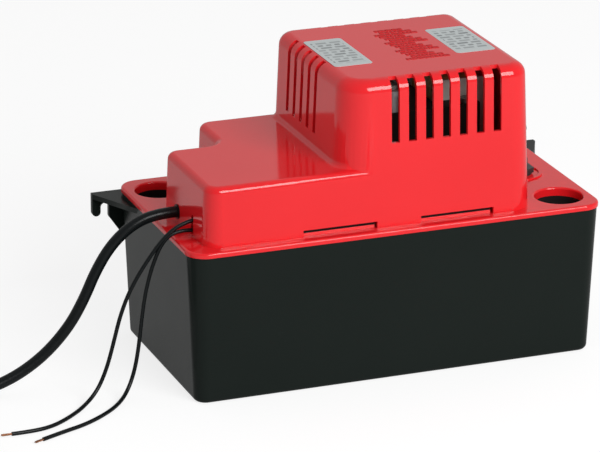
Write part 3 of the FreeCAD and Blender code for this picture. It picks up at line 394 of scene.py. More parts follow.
def skin(bm, rings):
    """Joins rings of points with faces and closes both ends."""
    rings = [[bm.verts.new(p) for p in ring] for ring in rings]
    for low, high in zip(rings, rings[1:]):
        for i in range(len(low)):
            j = (i + 1) % len(low)
            bm.faces.new((low[i], low[j], high[j], high[i]))
    bm.faces.new(rings[-1])
    bm.faces.new(list(reversed(rings[0])))


def stack(name, plan, levels):
    """A closed moulding through a ring at each level, a pair of height and inset."""
    bm = bmesh.new()
    skin(bm, [[(*p, z) for p in plan_ring(plan, inset)] for z, inset in levels])
    return solid(name, bm)


def rounded_levels(z0, top, edge, base, inset, slope):
    """Levels of a wall that leans in from its base and rounds over by edge at the top."""
    shoulder = top - edge
    lean = inset + (shoulder - base) * slope
    levels = [(z0, inset + (z0 - base) * slope)]
    for a in quarter(EDGE_STEPS):
        levels.append((shoulder + edge * sin(a), lean + edge * (1 - cos(a))))
    return levels


# %% [markdown]
# Holes, slots, tubes and bosses are turned or pushed out of a flat outline. Several that don't
# touch share one mesh, so that one Boolean step takes them all.

# %% Turned and pushed shapes
ROUND_STEPS = 56


def turned(bm, x, y, profile):
    """A solid of revolution about an upright line, from radius and height pairs."""
    turns = [2 * pi * k / ROUND_STEPS for k in range(ROUND_STEPS)]
    skin(bm, [[(x + r * cos(a), y + r * sin(a), z) for a in turns] for r, z in profile])


def pushed(bm, outline, move):
    """A solid between a flat outline and the same outline moved."""
    skin(bm, [[Vector(p) for p in outline], [Vector(p) + Vector(move) for p in outline]])


def block(bm, x0, y0, z0, x1, y1, z1):
    pushed(bm, [(x0, y0, z0), (x1, y0, z0), (x1, y1, z0), (x0, y1, z0)], (0, 0, z1 - z0))


def arc(x, z, radius, start, end, steps=8):
    """Points of an arc in an upright plane, from one angle to another, in degrees."""
    turns = [radians(start + (end - start) * k / steps) for k in range(steps + 1)]
    return [(x + radius * cos(a), z + radius * sin(a)) for a in turns]


def combine(obj, *steps):
    """Applies Boolean steps, pairs of an operation and a piece, and removes the pieces."""
    for operation, piece in steps:
        step = obj.modifiers.new(piece.name, "BOOLEAN")
        step.operation = operation
        step.solver = "EXACT"
        step.object = piece
    shaped = obj.evaluated_get(bpy.context.evaluated_depsgraph_get())
    mesh = bpy.data.meshes.new_from_object(shaped)
    obj.modifiers.clear()
    obj.data = mesh
    for operation, piece in steps:
        bpy.data.objects.remove(piece)


SHARP = radians(32)


def shell(obj, node):
    """Scales a shell to metres, shades it, and lets it stand for a ready made node."""
    mesh = obj.data
    mesh.transform(Matrix.Scale(MM, 4))
    mesh.polygons.foreach_set("use_smooth", [True] * len(mesh.polygons))
    mesh.set_sharp_from_angle(angle=SHARP)
    even = obj.modifiers.new("even_normals", "WEIGHTED_NORMAL")
    even.keep_sharp = True
    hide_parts(node)
    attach(obj, "root")
    print(obj.name, len(mesh.polygons), "faces, box", [round(v / MM, 1) for v in obj.dimensions])


# %% [markdown]
# The tank is a tapered tub with a small rounding round its foot. At the rear it grows two ears:
# a flat gusset and, in the plane of the wall, a web with a hook that drops over a screw. The
# gusset stays a hair inside the web, because Boolean steps dislike faces that coincide.

# %% Tank
LENGTH, WIDTH = 250.0, 133.4
TANK_TOP = 88.0
TANK_WALL = 2.5
TANK_CORNER = 11.7
TANK_FOOT = 3.0
TANK_SLOPE = 0.0419
RIM_STEP = 0.7
EAR_TOP = 86.1
EAR_THICK = 3.0
EAR_REACH = 15.4
EAR_FRONT = 38.0
WEB_DROP = 25.5
HOOK_DROP = 14.0
HOOK_SLOT = 5.0
HOOK_FINGER = 5.1
SLOT_TOP = 80.0
EAR_INSIDE = 8.0
HAIR = 0.02
half_x, half_y = LENGTH / 2, WIDTH / 2
ear_root, ear_tip = half_x - 2.0, half_x + EAR_REACH


def corner_plan(x0, y0, x1, y1, *radii):
    """Four corners, anticlockwise from the front left."""
    places = ((x0, y0), (x1, y0), (x1, y1), (x0, y1))
    return [(x, y, r) for (x, y), r in zip(places, radii)]


def tank_inset(z):
    return RIM_STEP + (TANK_TOP - z) * TANK_SLOPE


def ear(bm, side):
    slot_out = ear_tip - HOOK_FINGER
    slot_in = slot_out - HOOK_SLOT
    low, floor, foot = EAR_TOP - WEB_DROP, EAR_TOP - HOOK_DROP, 3.0
    half, tip_round = HOOK_SLOT / 2, HOOK_FINGER / 2
    web = [(ear_root - EAR_INSIDE, EAR_TOP), (ear_root - EAR_INSIDE, low), (ear_root, low)]
    web += arc(slot_in - foot, floor, foot, -50, 0, 4)
    web += arc(slot_in + half, SLOT_TOP - half, half, 180, 0)
    web += arc(slot_out + tip_round, floor + tip_round, tip_round, 180, 360)
    web.append((ear_tip, EAR_TOP))
    pushed(bm, [(side * x, half_y - EAR_THICK, z) for x, z in web], (0, EAR_THICK, 0))


def gusset(bm, side):
    rear, low, tip = half_y - HAIR, EAR_TOP - HAIR, ear_tip - HAIR
    flat = [(ear_root, rear - EAR_FRONT), (tip, rear - EAR_THICK), (tip, rear)]
    flat.append((ear_root - EAR_INSIDE, rear))
    pushed(bm, [(side * x, y, low) for x, y in flat], (0, 0, -EAR_THICK))


tank_plan = corner_plan(-half_x, -half_y, half_x, half_y, *[TANK_CORNER] * 4)
levels = []
for a in quarter(EDGE_STEPS):
    levels.append((TANK_FOOT * (1 - cos(a)), tank_inset(TANK_FOOT) + TANK_FOOT * (1 - sin(a))))
tank = stack("tank_shell", tank_plan, levels + [(TANK_TOP, RIM_STEP)])
webs, gussets = bmesh.new(), bmesh.new()
for side in (-1, 1):
    ear(webs, side)
    gusset(gussets, side)
inner = [(z, tank_inset(z) + TANK_WALL) for z in (TANK_WALL, TANK_TOP + 1)]
hollow = stack("tank_hollow", tank_plan, inner)
joins = [("UNION", solid("ear_webs", webs)), ("UNION", solid("ear_gussets", gussets))]
combine(tank, *joins, ("DIFFERENCE", hollow))
shell(tank, "tank")

# %% [markdown]
# The cover is a flat plate with a round edge. Three inlets with rolled lips run down into short
# tubes, posts carry the motor, a guide leads the float's rod, and a raised ring seats the check
# valve. Three flat tabs stand up inside the housing and snap into its windows.

# %% Cover
COVER_TOP = 91.0
COVER_ROUND = 1.4
INLET_X, INLET_Y = half_x - 19.2, half_y - 21.7
INLET = 14.0
INLET_LIP = 1.2
INLET_TUBE = 15.2
TUBE_FOOT = 80.0
POST = 5.0
POST_SPREAD = 24.0
MOTOR_X, MOTOR_SEAT, SHAFT_HOLE = 10.0, 109.0, 5.0
LEG_X, LEG_SEAT = 56.5, 122.0
GUIDE_X, GUIDE, GUIDE_HOLE = -70.0, 5.5, 2.8
VALVE_X, VALVE_SOCKET, VALVE_BORE, VALVE_HOLE = 100.0, 10.5, 7.1, 5.9
PAD, PAD_INSIDE, PAD_HIGH = 14.5, 12.5, 0.8
FRONT = 60.5
WALL = 2.2
TALL_LEFT, TALL_RIGHT = -34.0, 84.7
LATCH_WIDE, LATCH_HIGH = 44.4, 4.0
TAB_HIGH = 3.5
TAB_PLAY, TAB_THICK = 0.4, 2.0
latch_left, latch_right = TALL_LEFT - 0.75, TALL_LEFT + 70.05


def latch_blocks(bm, half, near, far, high):
    """A block at each latch, between two distances from the middle of the pump."""
    for side, middle in ((-1, latch_left), (-1, latch_right), (1, latch_right)):
        y0, y1 = sorted((side * near, side * far))
        block(bm, middle - half, y0, COVER_TOP - 1, middle + half, y1, COVER_TOP + high)


levels = rounded_levels(TANK_TOP, COVER_TOP, COVER_ROUND, TANK_TOP, 0.0, 0.0)
cover = stack("cover_shell", tank_plan, levels)
added, holes = bmesh.new(), bmesh.new()
lip = [(INLET, TUBE_FOOT - 1)]
for a in quarter(EDGE_STEPS):
    lip.append((INLET + INLET_LIP * (1 - cos(a)), COVER_TOP - INLET_LIP * (1 - sin(a))))
lip.append((INLET + INLET_LIP, COVER_TOP + 1))
for x, y in ((INLET_X, -INLET_Y), (-INLET_X, INLET_Y), (INLET_X, INLET_Y)):
    turned(added, x, y, [(INLET_TUBE, TUBE_FOOT), (INLET_TUBE, TANK_TOP + 1)])
    turned(holes, x, y, lip)
for x, top in ((MOTOR_X, MOTOR_SEAT), (LEG_X, LEG_SEAT)):
    for y in (-POST_SPREAD, POST_SPREAD):
        turned(added, x, y, [(POST, COVER_TOP - 1), (POST, top)])
turned(added, GUIDE_X, 0, [(GUIDE, TANK_TOP - 4), (GUIDE, COVER_TOP + 2.5)])
turned(added, VALVE_X, 0, [(VALVE_SOCKET, TANK_TOP - 10), (VALVE_SOCKET, TANK_TOP + 1)])
turned(added, VALVE_X, 0, [(PAD, COVER_TOP - 1), (PAD, COVER_TOP + PAD_HIGH)])
inside = FRONT - WALL - TAB_PLAY
latch_blocks(added, LATCH_WIDE / 2 - 1, inside, inside - TAB_THICK, TAB_HIGH)
above = COVER_TOP + 5
bore = [(VALVE_BORE, TUBE_FOOT - 10), (VALVE_BORE, TANK_TOP), (VALVE_HOLE, TANK_TOP)]
bore += [(VALVE_HOLE, COVER_TOP), (PAD_INSIDE, COVER_TOP), (PAD_INSIDE, above)]
turned(holes, VALVE_X, 0, bore)
turned(holes, GUIDE_X, 0, [(GUIDE_HOLE, TUBE_FOOT), (GUIDE_HOLE, above)])
turned(holes, MOTOR_X, 0, [(SHAFT_HOLE, TUBE_FOOT), (SHAFT_HOLE, above)])
added, holes = solid("cover_added", added), solid("cover_holes", holes)
combine(cover, ("UNION", added), ("DIFFERENCE", holes))
shell(cover, "cover_plate")

# %% [markdown]
# The housing is a low end with a step at the rear, and a tall end over the motor. Both are
# stacks, joined and then hollowed to an even wall. Where the tall end stands on the low one, a
# cove runs round its foot and dies out towards the low end's rounded edge. Vents cut through a
# wall and the lid at once, so each wraps over the edge between them.

# %% Motor housing
HOUSING_SLOPE = 0.0412
LOW_LEFT = -113.9
LOW_TOP = COVER_TOP + 34.4
LOW_EDGE, LOW_ROOM_EDGE = 4.0, 2.0
LOW_BACK = 16.0
LOW_STEP = LOW_LEFT + 33.9
LOW_REAR = 58.8
TALL_TOP = COVER_TOP + 85.2
TALL_EDGE = 7.5
TALL_FRONT = 60.4
LOW_FRONT = TALL_FRONT - HAIR
COVE, COVE_LEAST, COVE_SUNK = 3.0, 0.25, 1.0
LEFT_ROUND, REAR_ROUND = 20.0, 13.5
VENT_WIDE, VENT_PITCH, VENT_COUNT = 4.8, 10.3, 7
VENT_FIRST = TALL_LEFT + 32.7
VENT_FOOT = COVER_TOP + 48.4
SIDE_WIDE, SIDE_PITCH, SIDE_COUNT = 4.2, 10.6, 5
SIDE_FIRST = -11.0
SIDE_FOOT = COVER_TOP + 43.3
VENT_OVER, SIDE_OVER = 6.2, 5.0
CORD_HOLE = 4.3
LEAD_SLOT_LOW, LEAD_SLOT_HIGH, LEAD_SLOT_ROUND = 93.6, 101.3, 1.7
low_right = TALL_RIGHT - 20

low_plan = [
    (LOW_LEFT, -LOW_FRONT, 10.0),
    (low_right, -LOW_FRONT, 10.0),
    (low_right, LOW_REAR, 10.0),
    (LOW_STEP, LOW_REAR, 9.0),
    (LOW_STEP, LOW_BACK, 9.0),
    (LOW_LEFT, LOW_BACK, 8.0),
]
tall_plan = corner_plan(
    TALL_LEFT, -TALL_FRONT, TALL_RIGHT, TALL_FRONT, LEFT_ROUND, 15.0, 12.2, REAR_ROUND
)


def cove_rings():
    """Sections of the cove, from the rear left corner to the front left one."""
    inset = (LOW_TOP - COVER_TOP) * HOUSING_SLOPE
    lean = inset + LOW_EDGE
    rings = []
    for corner, side, limit in ((REAR_ROUND, 1, LOW_REAR - lean), (LEFT_ROUND, -1, FRONT - lean)):
        centre_y = side * (TALL_FRONT - corner)
        radius = corner - inset
        for a in quarter(3 * CORNER_STEPS):
            out = Vector((-sin(a), cos(a))) if side > 0 else Vector((-cos(a), -sin(a)))
            free = (side * limit - centre_y) / out.y - radius if abs(out.y) > 0.01 else COVE
            reach = min(COVE, free)
            if reach < COVE_LEAST:
                continue
            foot = Vector((TALL_LEFT + corner, centre_y)) + out * radius
            section = [(-COVE_SUNK, -COVE_SUNK), (reach, -COVE_SUNK)]
            section += arc(reach, reach, reach, 270, 180, 6)
            section.append((-COVE_SUNK, reach))
            rings.append([(*(foot + out * (x - z * HOUSING_SLOPE)), LOW_TOP + z) for x, z in section])
    return rings


def housing_levels(z0, top, edge, inset):
    return rounded_levels(z0, top, edge, COVER_TOP, inset, HOUSING_SLOPE)


# %% Housing with its openings
def left_opening(bm, outline, depth):
    pushed(bm, [(LOW_LEFT - 2, y, z) for y, z in outline], (depth, 0, 0))


housing = stack("housing_shell", low_plan, housing_levels(COVER_TOP, LOW_TOP, LOW_EDGE, 0.0))
tall = stack("tall_end", tall_plan, housing_levels(COVER_TOP, TALL_TOP, TALL_EDGE, 0.0))
bm = bmesh.new()
skin(bm, cove_rings())
cove = solid("cove", bm)
levels = housing_levels(COVER_TOP - 1, LOW_TOP - WALL, LOW_ROOM_EDGE, WALL)
low_room = stack("low_room", low_plan, levels)
levels = housing_levels(COVER_TOP - 1, TALL_TOP - WALL, TALL_EDGE - WALL, WALL)
tall_room = stack("tall_room", tall_plan, levels)
openings = bmesh.new()
lean = (TALL_TOP - COVER_TOP) * HOUSING_SLOPE
over, half = TALL_FRONT - lean - VENT_OVER, VENT_WIDE / 2
for i in range(VENT_COUNT):
    x = VENT_FIRST + i * VENT_PITCH
    for side in (-1, 1):
        y0, y1 = sorted((side * over, side * (FRONT + 5)))
        block(openings, x - half, y0, VENT_FOOT, x + half, y1, TALL_TOP + 1)
over, half = TALL_LEFT + lean + SIDE_OVER, SIDE_WIDE / 2
for i in range(SIDE_COUNT):
    y = SIDE_FIRST + i * SIDE_PITCH
    block(openings, TALL_LEFT - 5, y - half, SIDE_FOOT, over, y + half, TALL_TOP + 1)
latch_blocks(openings, LATCH_WIDE / 2, FRONT - WALL - 1, FRONT + 1, LATCH_HIGH)
left_opening(openings, arc(EXIT_Y, EXIT_Z, CORD_HOLE, 0, 337.5, 15), WALL + 6)
slot = arc(LEAD_Y, LEAD_SLOT_HIGH, LEAD_SLOT_ROUND, 0, 180)
slot += arc(LEAD_Y, LEAD_SLOT_LOW, LEAD_SLOT_ROUND, 180, 360)
left_opening(openings, slot, WALL + 5)
joins = [("UNION", tall), ("UNION", cove)]
cuts = [("DIFFERENCE", piece) for piece in (low_room, tall_room, solid("openings", openings))]
combine(housing, *joins, *cuts)
shell(housing, "motor_housing")

# %% [markdown]
# ## Effects that several materials share
# A mould, a press and a few years on a shelf leave the same few marks on many pieces. Each mark
# is a small node group, built once: it takes a size and an amount, and gives back a mask or a
# height. The shader itself stays in the material, where the colours are chosen.


# %% Node helpers
def add(tree, kind, **values):
    node = tree.nodes.new(kind)
    for key, value in values.items():
        if hasattr(node, key):
            setattr(node, key, value)
        else:
            node.inputs[key].default_value = value
    return node


def new_group(name, inputs, outputs):
    tree = bpy.data.node_groups.new(name, "ShaderNodeTree")
    for label, value in inputs.items():
        socket = tree.interface.new_socket(name=label, in_out="INPUT", socket_type="NodeSocketFloat")
        socket.default_value = value
    for label in outputs:
        tree.interface.new_socket(name=label, in_out="OUTPUT", socket_type="NodeSocketFloat")
    return tree, tree.nodes.new("NodeGroupInput"), tree.nodes.new("NodeGroupOutput")


def math(tree, operation, a, b=None, clamp=False):
    node = tree.nodes.new("ShaderNodeMath")
    node.operation = operation
    node.use_clamp = clamp
    for socket, value in zip(node.inputs, (a, b)):
        if value is None:
            continue
        if isinstance(value, (int, float)):
            socket.default_value = value
        else:
            tree.links.new(value, socket)
    return node.outputs[0]


def noise(tree, place, scale, detail, roughness=0.5):
    node = tree.nodes.new("ShaderNodeTexNoise")
    node.inputs["Detail"].default_value = detail
    node.inputs["Roughness"].default_value = roughness
    tree.links.new(place, node.inputs["Vector"])
    if isinstance(scale, (int, float)):
        node.inputs["Scale"].default_value = scale
    else:
        tree.links.new(scale, node.inputs["Scale"])
    return node.outputs["Fac"]


def object_place(tree):
    return tree.nodes.new("ShaderNodeTexCoord").outputs["Object"]


def axes(tree, socket):
    """The X, Y and Z parts of a place or a direction."""
    split = tree.nodes.new("ShaderNodeSeparateXYZ")
    tree.links.new(socket, split.inputs[0])
    return split.outputs


def ramp(tree, value, low, high):
    """0 below low, 1 above high."""
    node = tree.nodes.new("ShaderNodeMapRange")
    node.inputs["From Min"].default_value = low
    node.inputs["From Max"].default_value = high
    tree.links.new(value, node.inputs["Value"])
    return node.outputs["Result"]


# %% [markdown]
# Moulded plastic is never quite flat. The mould has a fine texture, and as the part cools its
# walls sink in slow waves, which bend the reflections of a glossy part. One group gives both
# heights and a slow change of tone.

# %% Moulded surface group
inputs = {"Grain": 2500.0, "Wave": 18.0, "Sink": 0.5}
tree, inside, outside = new_group("moulded_surface", inputs, ["Height", "Tone"])
place = object_place(tree)
fine = noise(tree, place, inside.outputs["Grain"], 3.0, 0.6)
slow = noise(tree, place, inside.outputs["Wave"], 2.0)
sunk = math(tree, "MULTIPLY", slow, inside.outputs["Sink"])
tree.links.new(math(tree, "ADD", fine, sunk), outside.inputs["Height"])
tree.links.new(ramp(tree, noise(tree, place, 9.0, 4.0), 0.3, 0.7), outside.inputs["Tone"])
moulded_surface = tree

# %% [markdown]
# Handling leaves two marks: fine straight scratches, seen only where light glances off, and
# cloudy smears that dull the gloss. The scratches are noise that is stretched a hundredfold,
# once along each of two directions.

# %% Handling marks group
inputs = {"Size": 60.0, "Amount": 0.5}
tree, inside, outside = new_group("handling_marks", inputs, ["Scratch", "Smear"])
place = object_place(tree)
lines = []
for spin, stretch in ((0.5, (1.0, 45.0, 30.0)), (-0.9, (38.0, 1.2, 30.0))):
    mapping = tree.nodes.new("ShaderNodeMapping")
    mapping.inputs["Rotation"].default_value = (spin, spin * 0.6, spin)
    mapping.inputs["Scale"].default_value = stretch
    tree.links.new(place, mapping.inputs["Vector"])
    streak = noise(tree, mapping.outputs["Vector"], inside.outputs["Size"], 2.0)
    lines.append(ramp(tree, streak, 0.68, 0.74))
either = math(tree, "MAXIMUM", lines[0], lines[1])
patchy = ramp(tree, noise(tree, place, 22.0, 3.0), 0.5, 0.62)
scratch = math(tree, "MULTIPLY", math(tree, "MULTIPLY", either, patchy), inside.outputs["Amount"])
tree.links.new(scratch, outside.inputs["Scratch"])
cloud = ramp(tree, noise(tree, place, inside.outputs["Size"], 5.0, 0.6), 0.42, 0.75)
tree.links.new(math(tree, "MULTIPLY", cloud, inside.outputs["Amount"]), outside.inputs["Smear"])
handling_marks = tree

# %% [markdown]
# Dust settles on what faces up and stays in the corners that no cloth reaches. The up and down
# part of the surface normal says where it can lie, and a noise breaks it up.

# %% Dust group
tree, inside, outside = new_group("settled_dust", {"Amount": 0.3, "Patch": 70.0}, ["Mask"])
place = object_place(tree)
normal = tree.nodes.new("ShaderNodeNewGeometry").outputs["Normal"]
facing = ramp(tree, axes(tree, normal)["Z"], 0.3, 1.0)
spots = ramp(tree, noise(tree, place, inside.outputs["Patch"], 6.0, 0.7), 0.45, 0.8)
lying = math(tree, "MULTIPLY", math(tree, "MULTIPLY", facing, spots), inside.outputs["Amount"])
tree.links.new(lying, outside.inputs["Mask"])
settled_dust = tree

# %% [markdown]
# Drawn, ground and rolled metal is covered in fine lines that run one way. The group gives
# their height for any of the three axes, by squeezing the noise across the lines.

# %% Brushed lines group
inputs = {"Along X": 1.0, "Along Y": 30.0, "Along Z": 30.0}
tree, inside, outside = new_group("brushed_lines", inputs, ["Height", "Tone"])
place = object_place(tree)
joined = tree.nodes.new("ShaderNodeCombineXYZ")
for socket, label in zip(joined.inputs, ("Along X", "Along Y", "Along Z")):
    tree.links.new(inside.outputs[label], socket)
stretched = tree.nodes.new("ShaderNodeVectorMath")
stretched.operation = "MULTIPLY"
tree.links.new(place, stretched.inputs[0])
tree.links.new(joined.outputs[0], stretched.inputs[1])
tree.links.new(noise(tree, stretched.outputs[0], 60.0, 4.0, 0.65), outside.inputs["Height"])
tree.links.new(noise(tree, place, 30.0, 3.0), outside.inputs["Tone"])
brushed_lines = tree
print("groups:", [g.name for g in bpy.data.node_groups])

# %% [markdown]
# ## The finishes
# Every finish is a Principled shader. One helper starts it, mixes two near tones by a mask and
# leaves the rest to the piece. Gloss, sheen and the like that are even over a surface are plain
# numbers on the shader.


# %% Start a material
def place_group(material, group, **values):
    node = material.node_tree.nodes.new("ShaderNodeGroup")
    node.node_tree = group
    for label, value in values.items():
        node.inputs[label.replace("_", " ")].default_value = value
    return node


def start(name, roughness, metallic=0.0, specular=0.5):
    material = bpy.data.materials.new(name)
    material.use_nodes = True
    shader = material.node_tree.nodes["Principled BSDF"]
    shader.inputs["Roughness"].default_value = roughness
    shader.inputs["Metallic"].default_value = metallic
    shader.inputs["Specular IOR Level"].default_value = specular
    return material, shader


def tone(material, shader, first, second, mask):
    """Base colour that goes from one colour to another by a mask; either may be a socket."""
    links = material.node_tree.links
    mix = material.node_tree.nodes.new("ShaderNodeMix")
    mix.data_type = "RGBA"
    for key, colour in (("A", first), ("B", second)):
        if isinstance(colour, tuple):
            mix.inputs[key].default_value = (*colour, 1.0)
        else:
            links.new(colour, mix.inputs[key])
    links.new(mask, mix.inputs["Factor"])
    links.new(mix.outputs["Result"], shader.inputs["Base Color"])
    return mix.outputs["Result"]


def relief(material, shader, height, strength, distance):
    bump = material.node_tree.nodes.new("ShaderNodeBump")
    bump.inputs["Strength"].default_value = strength
    bump.inputs["Distance"].default_value = distance
    material.node_tree.links.new(height, bump.inputs["Height"])
    material.node_tree.links.new(bump.outputs["Normal"], shader.inputs["Normal"])


def moulded(name, first, second, roughness, grain=2500.0, depth=0.00002, dust=0.12, marks=0.5,
            sink=0.5, specular=0.5, dull=0.25):
    """A moulded plastic: two near tones, grain and sink, scratches that dull it, and dust."""
    material, shader = start(name, roughness, specular=specular)
    tree = material.node_tree
    surface = place_group(material, moulded_surface, Grain=grain, Sink=sink)
    handled = place_group(material, handling_marks, Amount=marks)
    dusty = place_group(material, settled_dust, Amount=dust).outputs["Mask"]
    under = tone(material, shader, first, second, surface.outputs["Tone"])
    pale = tuple(min(1.0, c * 0.6 + 0.22) for c in first)
    tone(material, shader, under, pale, dusty)
    worn = math(tree, "ADD", handled.outputs["Scratch"], handled.outputs["Smear"])
    worn = math(tree, "MULTIPLY", worn, dull)
    worn = math(tree, "ADD", worn, roughness, clamp=True)
    dulled = math(tree, "ADD", worn, math(tree, "MULTIPLY", dusty, 0.5))
    tree.links.new(dulled, shader.inputs["Roughness"])
    relief(material, shader, surface.outputs["Height"], 1.0, depth)
    return material


def metal(name, first, second, roughness, lines=(1.0, 30.0, 30.0), depth=0.00002, dull=0.2):
    """A worked metal: fine lines, a slow change of tone and smears that dull it."""
    material, shader = start(name, roughness, metallic=1.0)
    tree = material.node_tree
    x, y, z = lines
    brushed = place_group(material, brushed_lines, Along_X=x, Along_Y=y, Along_Z=z)
    handled = place_group(material, handling_marks, Amount=0.6)
    tone(material, shader, first, second, brushed.outputs["Tone"])
    worn = math(tree, "MULTIPLY", handled.outputs["Smear"], dull)
    worn = math(tree, "ADD", worn, roughness, clamp=True)
    tree.links.new(worn, shader.inputs["Roughness"])
    relief(material, shader, brushed.outputs["Height"], 0.6, depth)
    return material


# %% [markdown]
# The red is a glossy ABS with almost no wear. The tank is a duller black polypropylene, with a
# broader sheen. The inner plastics are plain nylons.

# %% Plastics
RED = (0.86, 0.016, 0.022), (0.80, 0.013, 0.018)
RED_GLOSS = 0.10
RED_SURFACE = dict(grain=1400.0, depth=0.000003, dust=0.015, marks=0.3, sink=7.0, dull=0.08)
TANK_BLACK = (0.0100, 0.0142, 0.0124), (0.0116, 0.0160, 0.0140)
TANK_SURFACE = dict(grain=2600.0, depth=0.000006, dust=0.012, marks=0.35, sink=3.0, specular=0.09)
NYLON = (0.66, 0.66, 0.62), (0.6, 0.59, 0.54)
PUMP_BLACK = (0.02, 0.021, 0.022), (0.03, 0.031, 0.032)
VALVE_BLACK = (0.022, 0.023, 0.023), (0.03, 0.03, 0.03)
SWITCH_BLACK = (0.02, 0.02, 0.022), (0.028, 0.028, 0.03)
BUTTON_RED = (0.5, 0.02, 0.02), (0.42, 0.02, 0.02)
SEAL_BLACK = (0.012, 0.012, 0.012), (0.02, 0.02, 0.02)
finishes = {
    "red_housing_plastic": moulded("red_gloss", *RED, RED_GLOSS, **RED_SURFACE),
    "black_tank_plastic": moulded("tank_black", *TANK_BLACK, 0.22, dull=0.12, **TANK_SURFACE),
    "white_plastic": moulded("natural_nylon", *NYLON, 0.42, dust=0.25),
    "pump_plastic": moulded("pump_black", *PUMP_BLACK, 0.45, dust=0.1),
    "valve_plastic": moulded("valve_black", *VALVE_BLACK, 0.4, dust=0.1),
    "switch_plastic": moulded("switch_black", *SWITCH_BLACK, 0.38, grain=4000.0),
    "plunger_red": moulded("button_red", *BUTTON_RED, 0.35),
    "seal_rubber": moulded("seal_rubber_black", *SEAL_BLACK, 0.6, dust=0.3),
}

# %% [markdown]
# A rubber jacket is extruded. It has a soft gloss and a faint grain round about, and next to no
# dust while it is new.

# %% Cord rubber
CORD_BLACK = (0.004, 0.0055, 0.006), (0.007, 0.009, 0.0095)
CORD_SURFACE = dict(grain=1500.0, depth=0.00005, dust=0.02, marks=0.6, sink=1.0, specular=0.22)
finishes["cord_rubber"] = moulded("cord_rubber_black", *CORD_BLACK, 0.24, **CORD_SURFACE)

# %% [markdown]
# Each metal gets its lines from how it was worked. The motor's iron is a stack of stamped
# sheets, so its lines are fine and run level. Castings and bearings have an even grain.

# %% Metals
IRON = (0.016, 0.014, 0.013), (0.028, 0.025, 0.023)
CAST = (0.55, 0.56, 0.57), (0.45, 0.46, 0.47)
BRONZE = (0.42, 0.27, 0.12), (0.34, 0.21, 0.1)
ZINC = (0.34, 0.34, 0.33), (0.28, 0.29, 0.27)
STEEL = (0.62, 0.62, 0.62), (0.54, 0.54, 0.55)
BRASS = (0.72, 0.6, 0.36), (0.64, 0.54, 0.32)
COPPER = (0.50, 0.23, 0.125), (0.36, 0.16, 0.085)
SHEETS, EVEN, TURNED = (1.5, 1.5, 26.0), (12.0, 12.0, 12.0), (18.0, 18.0, 2.0)
finishes |= {
    "lamination_steel": metal("stacked_steel", *IRON, 0.6, lines=SHEETS, depth=0.0004),
    "cast_zinc": metal("cast_zinc_grey", *CAST, 0.45, lines=EVEN, depth=0.00008),
    "bronze": metal("oiled_bronze", *BRONZE, 0.4, lines=(20.0, 20.0, 20.0)),
    "zinc_steel": metal("plated_steel", *ZINC, 0.35),
    "stainless": metal("bright_steel", *STEEL, 0.24, lines=TURNED),
    "plug_brass": metal("plated_brass", *BRASS, 0.25),
    "copper": metal("bare_copper", *COPPER, 0.34, lines=(3.0, 30.0, 30.0)),
}

# %% [markdown]
# The cover is the same red, but two places on it lie in deep shade: the throats of the inlets,
# below the thickness of the plate, and the tops of the latch tabs, behind the housing's windows.
# A mask on the height finds both, paints the shade into their colour and makes them matt.

# %% Cover with its shaded places
THROAT_DEPTH = 5.0
TAB_SHOWS = 1.7
TAB_TOP = 4.4
TAB_FROM = 53.0 * MM
SHADE = (0.004, 0.0005, 0.0006)
material = moulded("red_gloss_cover", *RED, RED_GLOSS, **RED_SURFACE)
tree = material.node_tree
shader = tree.nodes["Principled BSDF"]
part = axes(tree, object_place(tree))
throat = math(tree, "LESS_THAN", part["Z"], (COVER_TOP - THROAT_DEPTH) * MM)
tab = math(tree, "GREATER_THAN", part["Z"], (COVER_TOP + TAB_SHOWS) * MM)
low_enough = math(tree, "LESS_THAN", part["Z"], (COVER_TOP + TAB_TOP) * MM)
side_on = math(tree, "GREATER_THAN", math(tree, "ABSOLUTE", part["Y"]), TAB_FROM)
tab = math(tree, "MULTIPLY", math(tree, "MULTIPLY", tab, low_enough), side_on)
shaded = math(tree, "MAXIMUM", throat, tab)
# painted shade: the inlet throats and the tab tops take the dark shade colour
tone(material, shader, shader.inputs["Base Color"].links[0].from_socket, SHADE, shaded)
dull = math(tree, "MAXIMUM", shader.inputs["Roughness"].links[0].from_socket, shaded)
tree.links.new(dull, shader.inputs["Roughness"])
finishes["cover_red"] = material

# %% [markdown]
# Two inner pieces have a surface of their own. The winding is wrapped in tape, so it shows one
# edge after another, and the float is a foam whose closed cells just show.

# %% Tape and foam
material, shader = start("winding_tape", 0.55)
tree = material.node_tree
wave = add(tree, "ShaderNodeTexWave", bands_direction="Y", wave_profile="SAW", Scale=70.0)
wave.inputs["Distortion"].default_value = 0.6
tree.links.new(object_place(tree), wave.inputs["Vector"])
tone(material, shader, (0.5, 0.4, 0.13), (0.62, 0.52, 0.2), wave.outputs["Fac"])
relief(material, shader, wave.outputs["Fac"], 0.8, 0.0002)
finishes["coil_tape"] = material

material, shader = start("float_foam_white", 0.7)
tree = material.node_tree
cells = add(tree, "ShaderNodeTexVoronoi", Scale=420.0)
tree.links.new(object_place(tree), cells.inputs["Vector"])
tone(material, shader, (0.78, 0.77, 0.72), (0.68, 0.66, 0.6), cells.outputs["Distance"])
relief(material, shader, cells.outputs["Distance"], 0.7, 0.0003)
finishes["float_foam"] = material

# %% Give each piece its finish
def dress(obj, material):
    if obj.type == "MESH":
        obj.data.materials.clear()
    obj.data.materials.append(material)


slot_of = {part["node"]: part["material_slot"] for part in frame["record"]["subparts"]}
for name, obj in nodes.items():
    dress(obj, finishes["cover_red" if name == "cover_plate" else slot_of[name]])
for obj in (power_cord, upper_lead, lower_lead, *ties):
    dress(obj, finishes["cord_rubber"])
for obj in (upper_strands, lower_strands):
    dress(obj, finishes["copper"])
dress(tank, finishes["black_tank_plastic"])
dress(cover, finishes["cover_red"])
dress(housing, finishes["red_housing_plastic"])
print("dressed", len(nodes), "pieces")

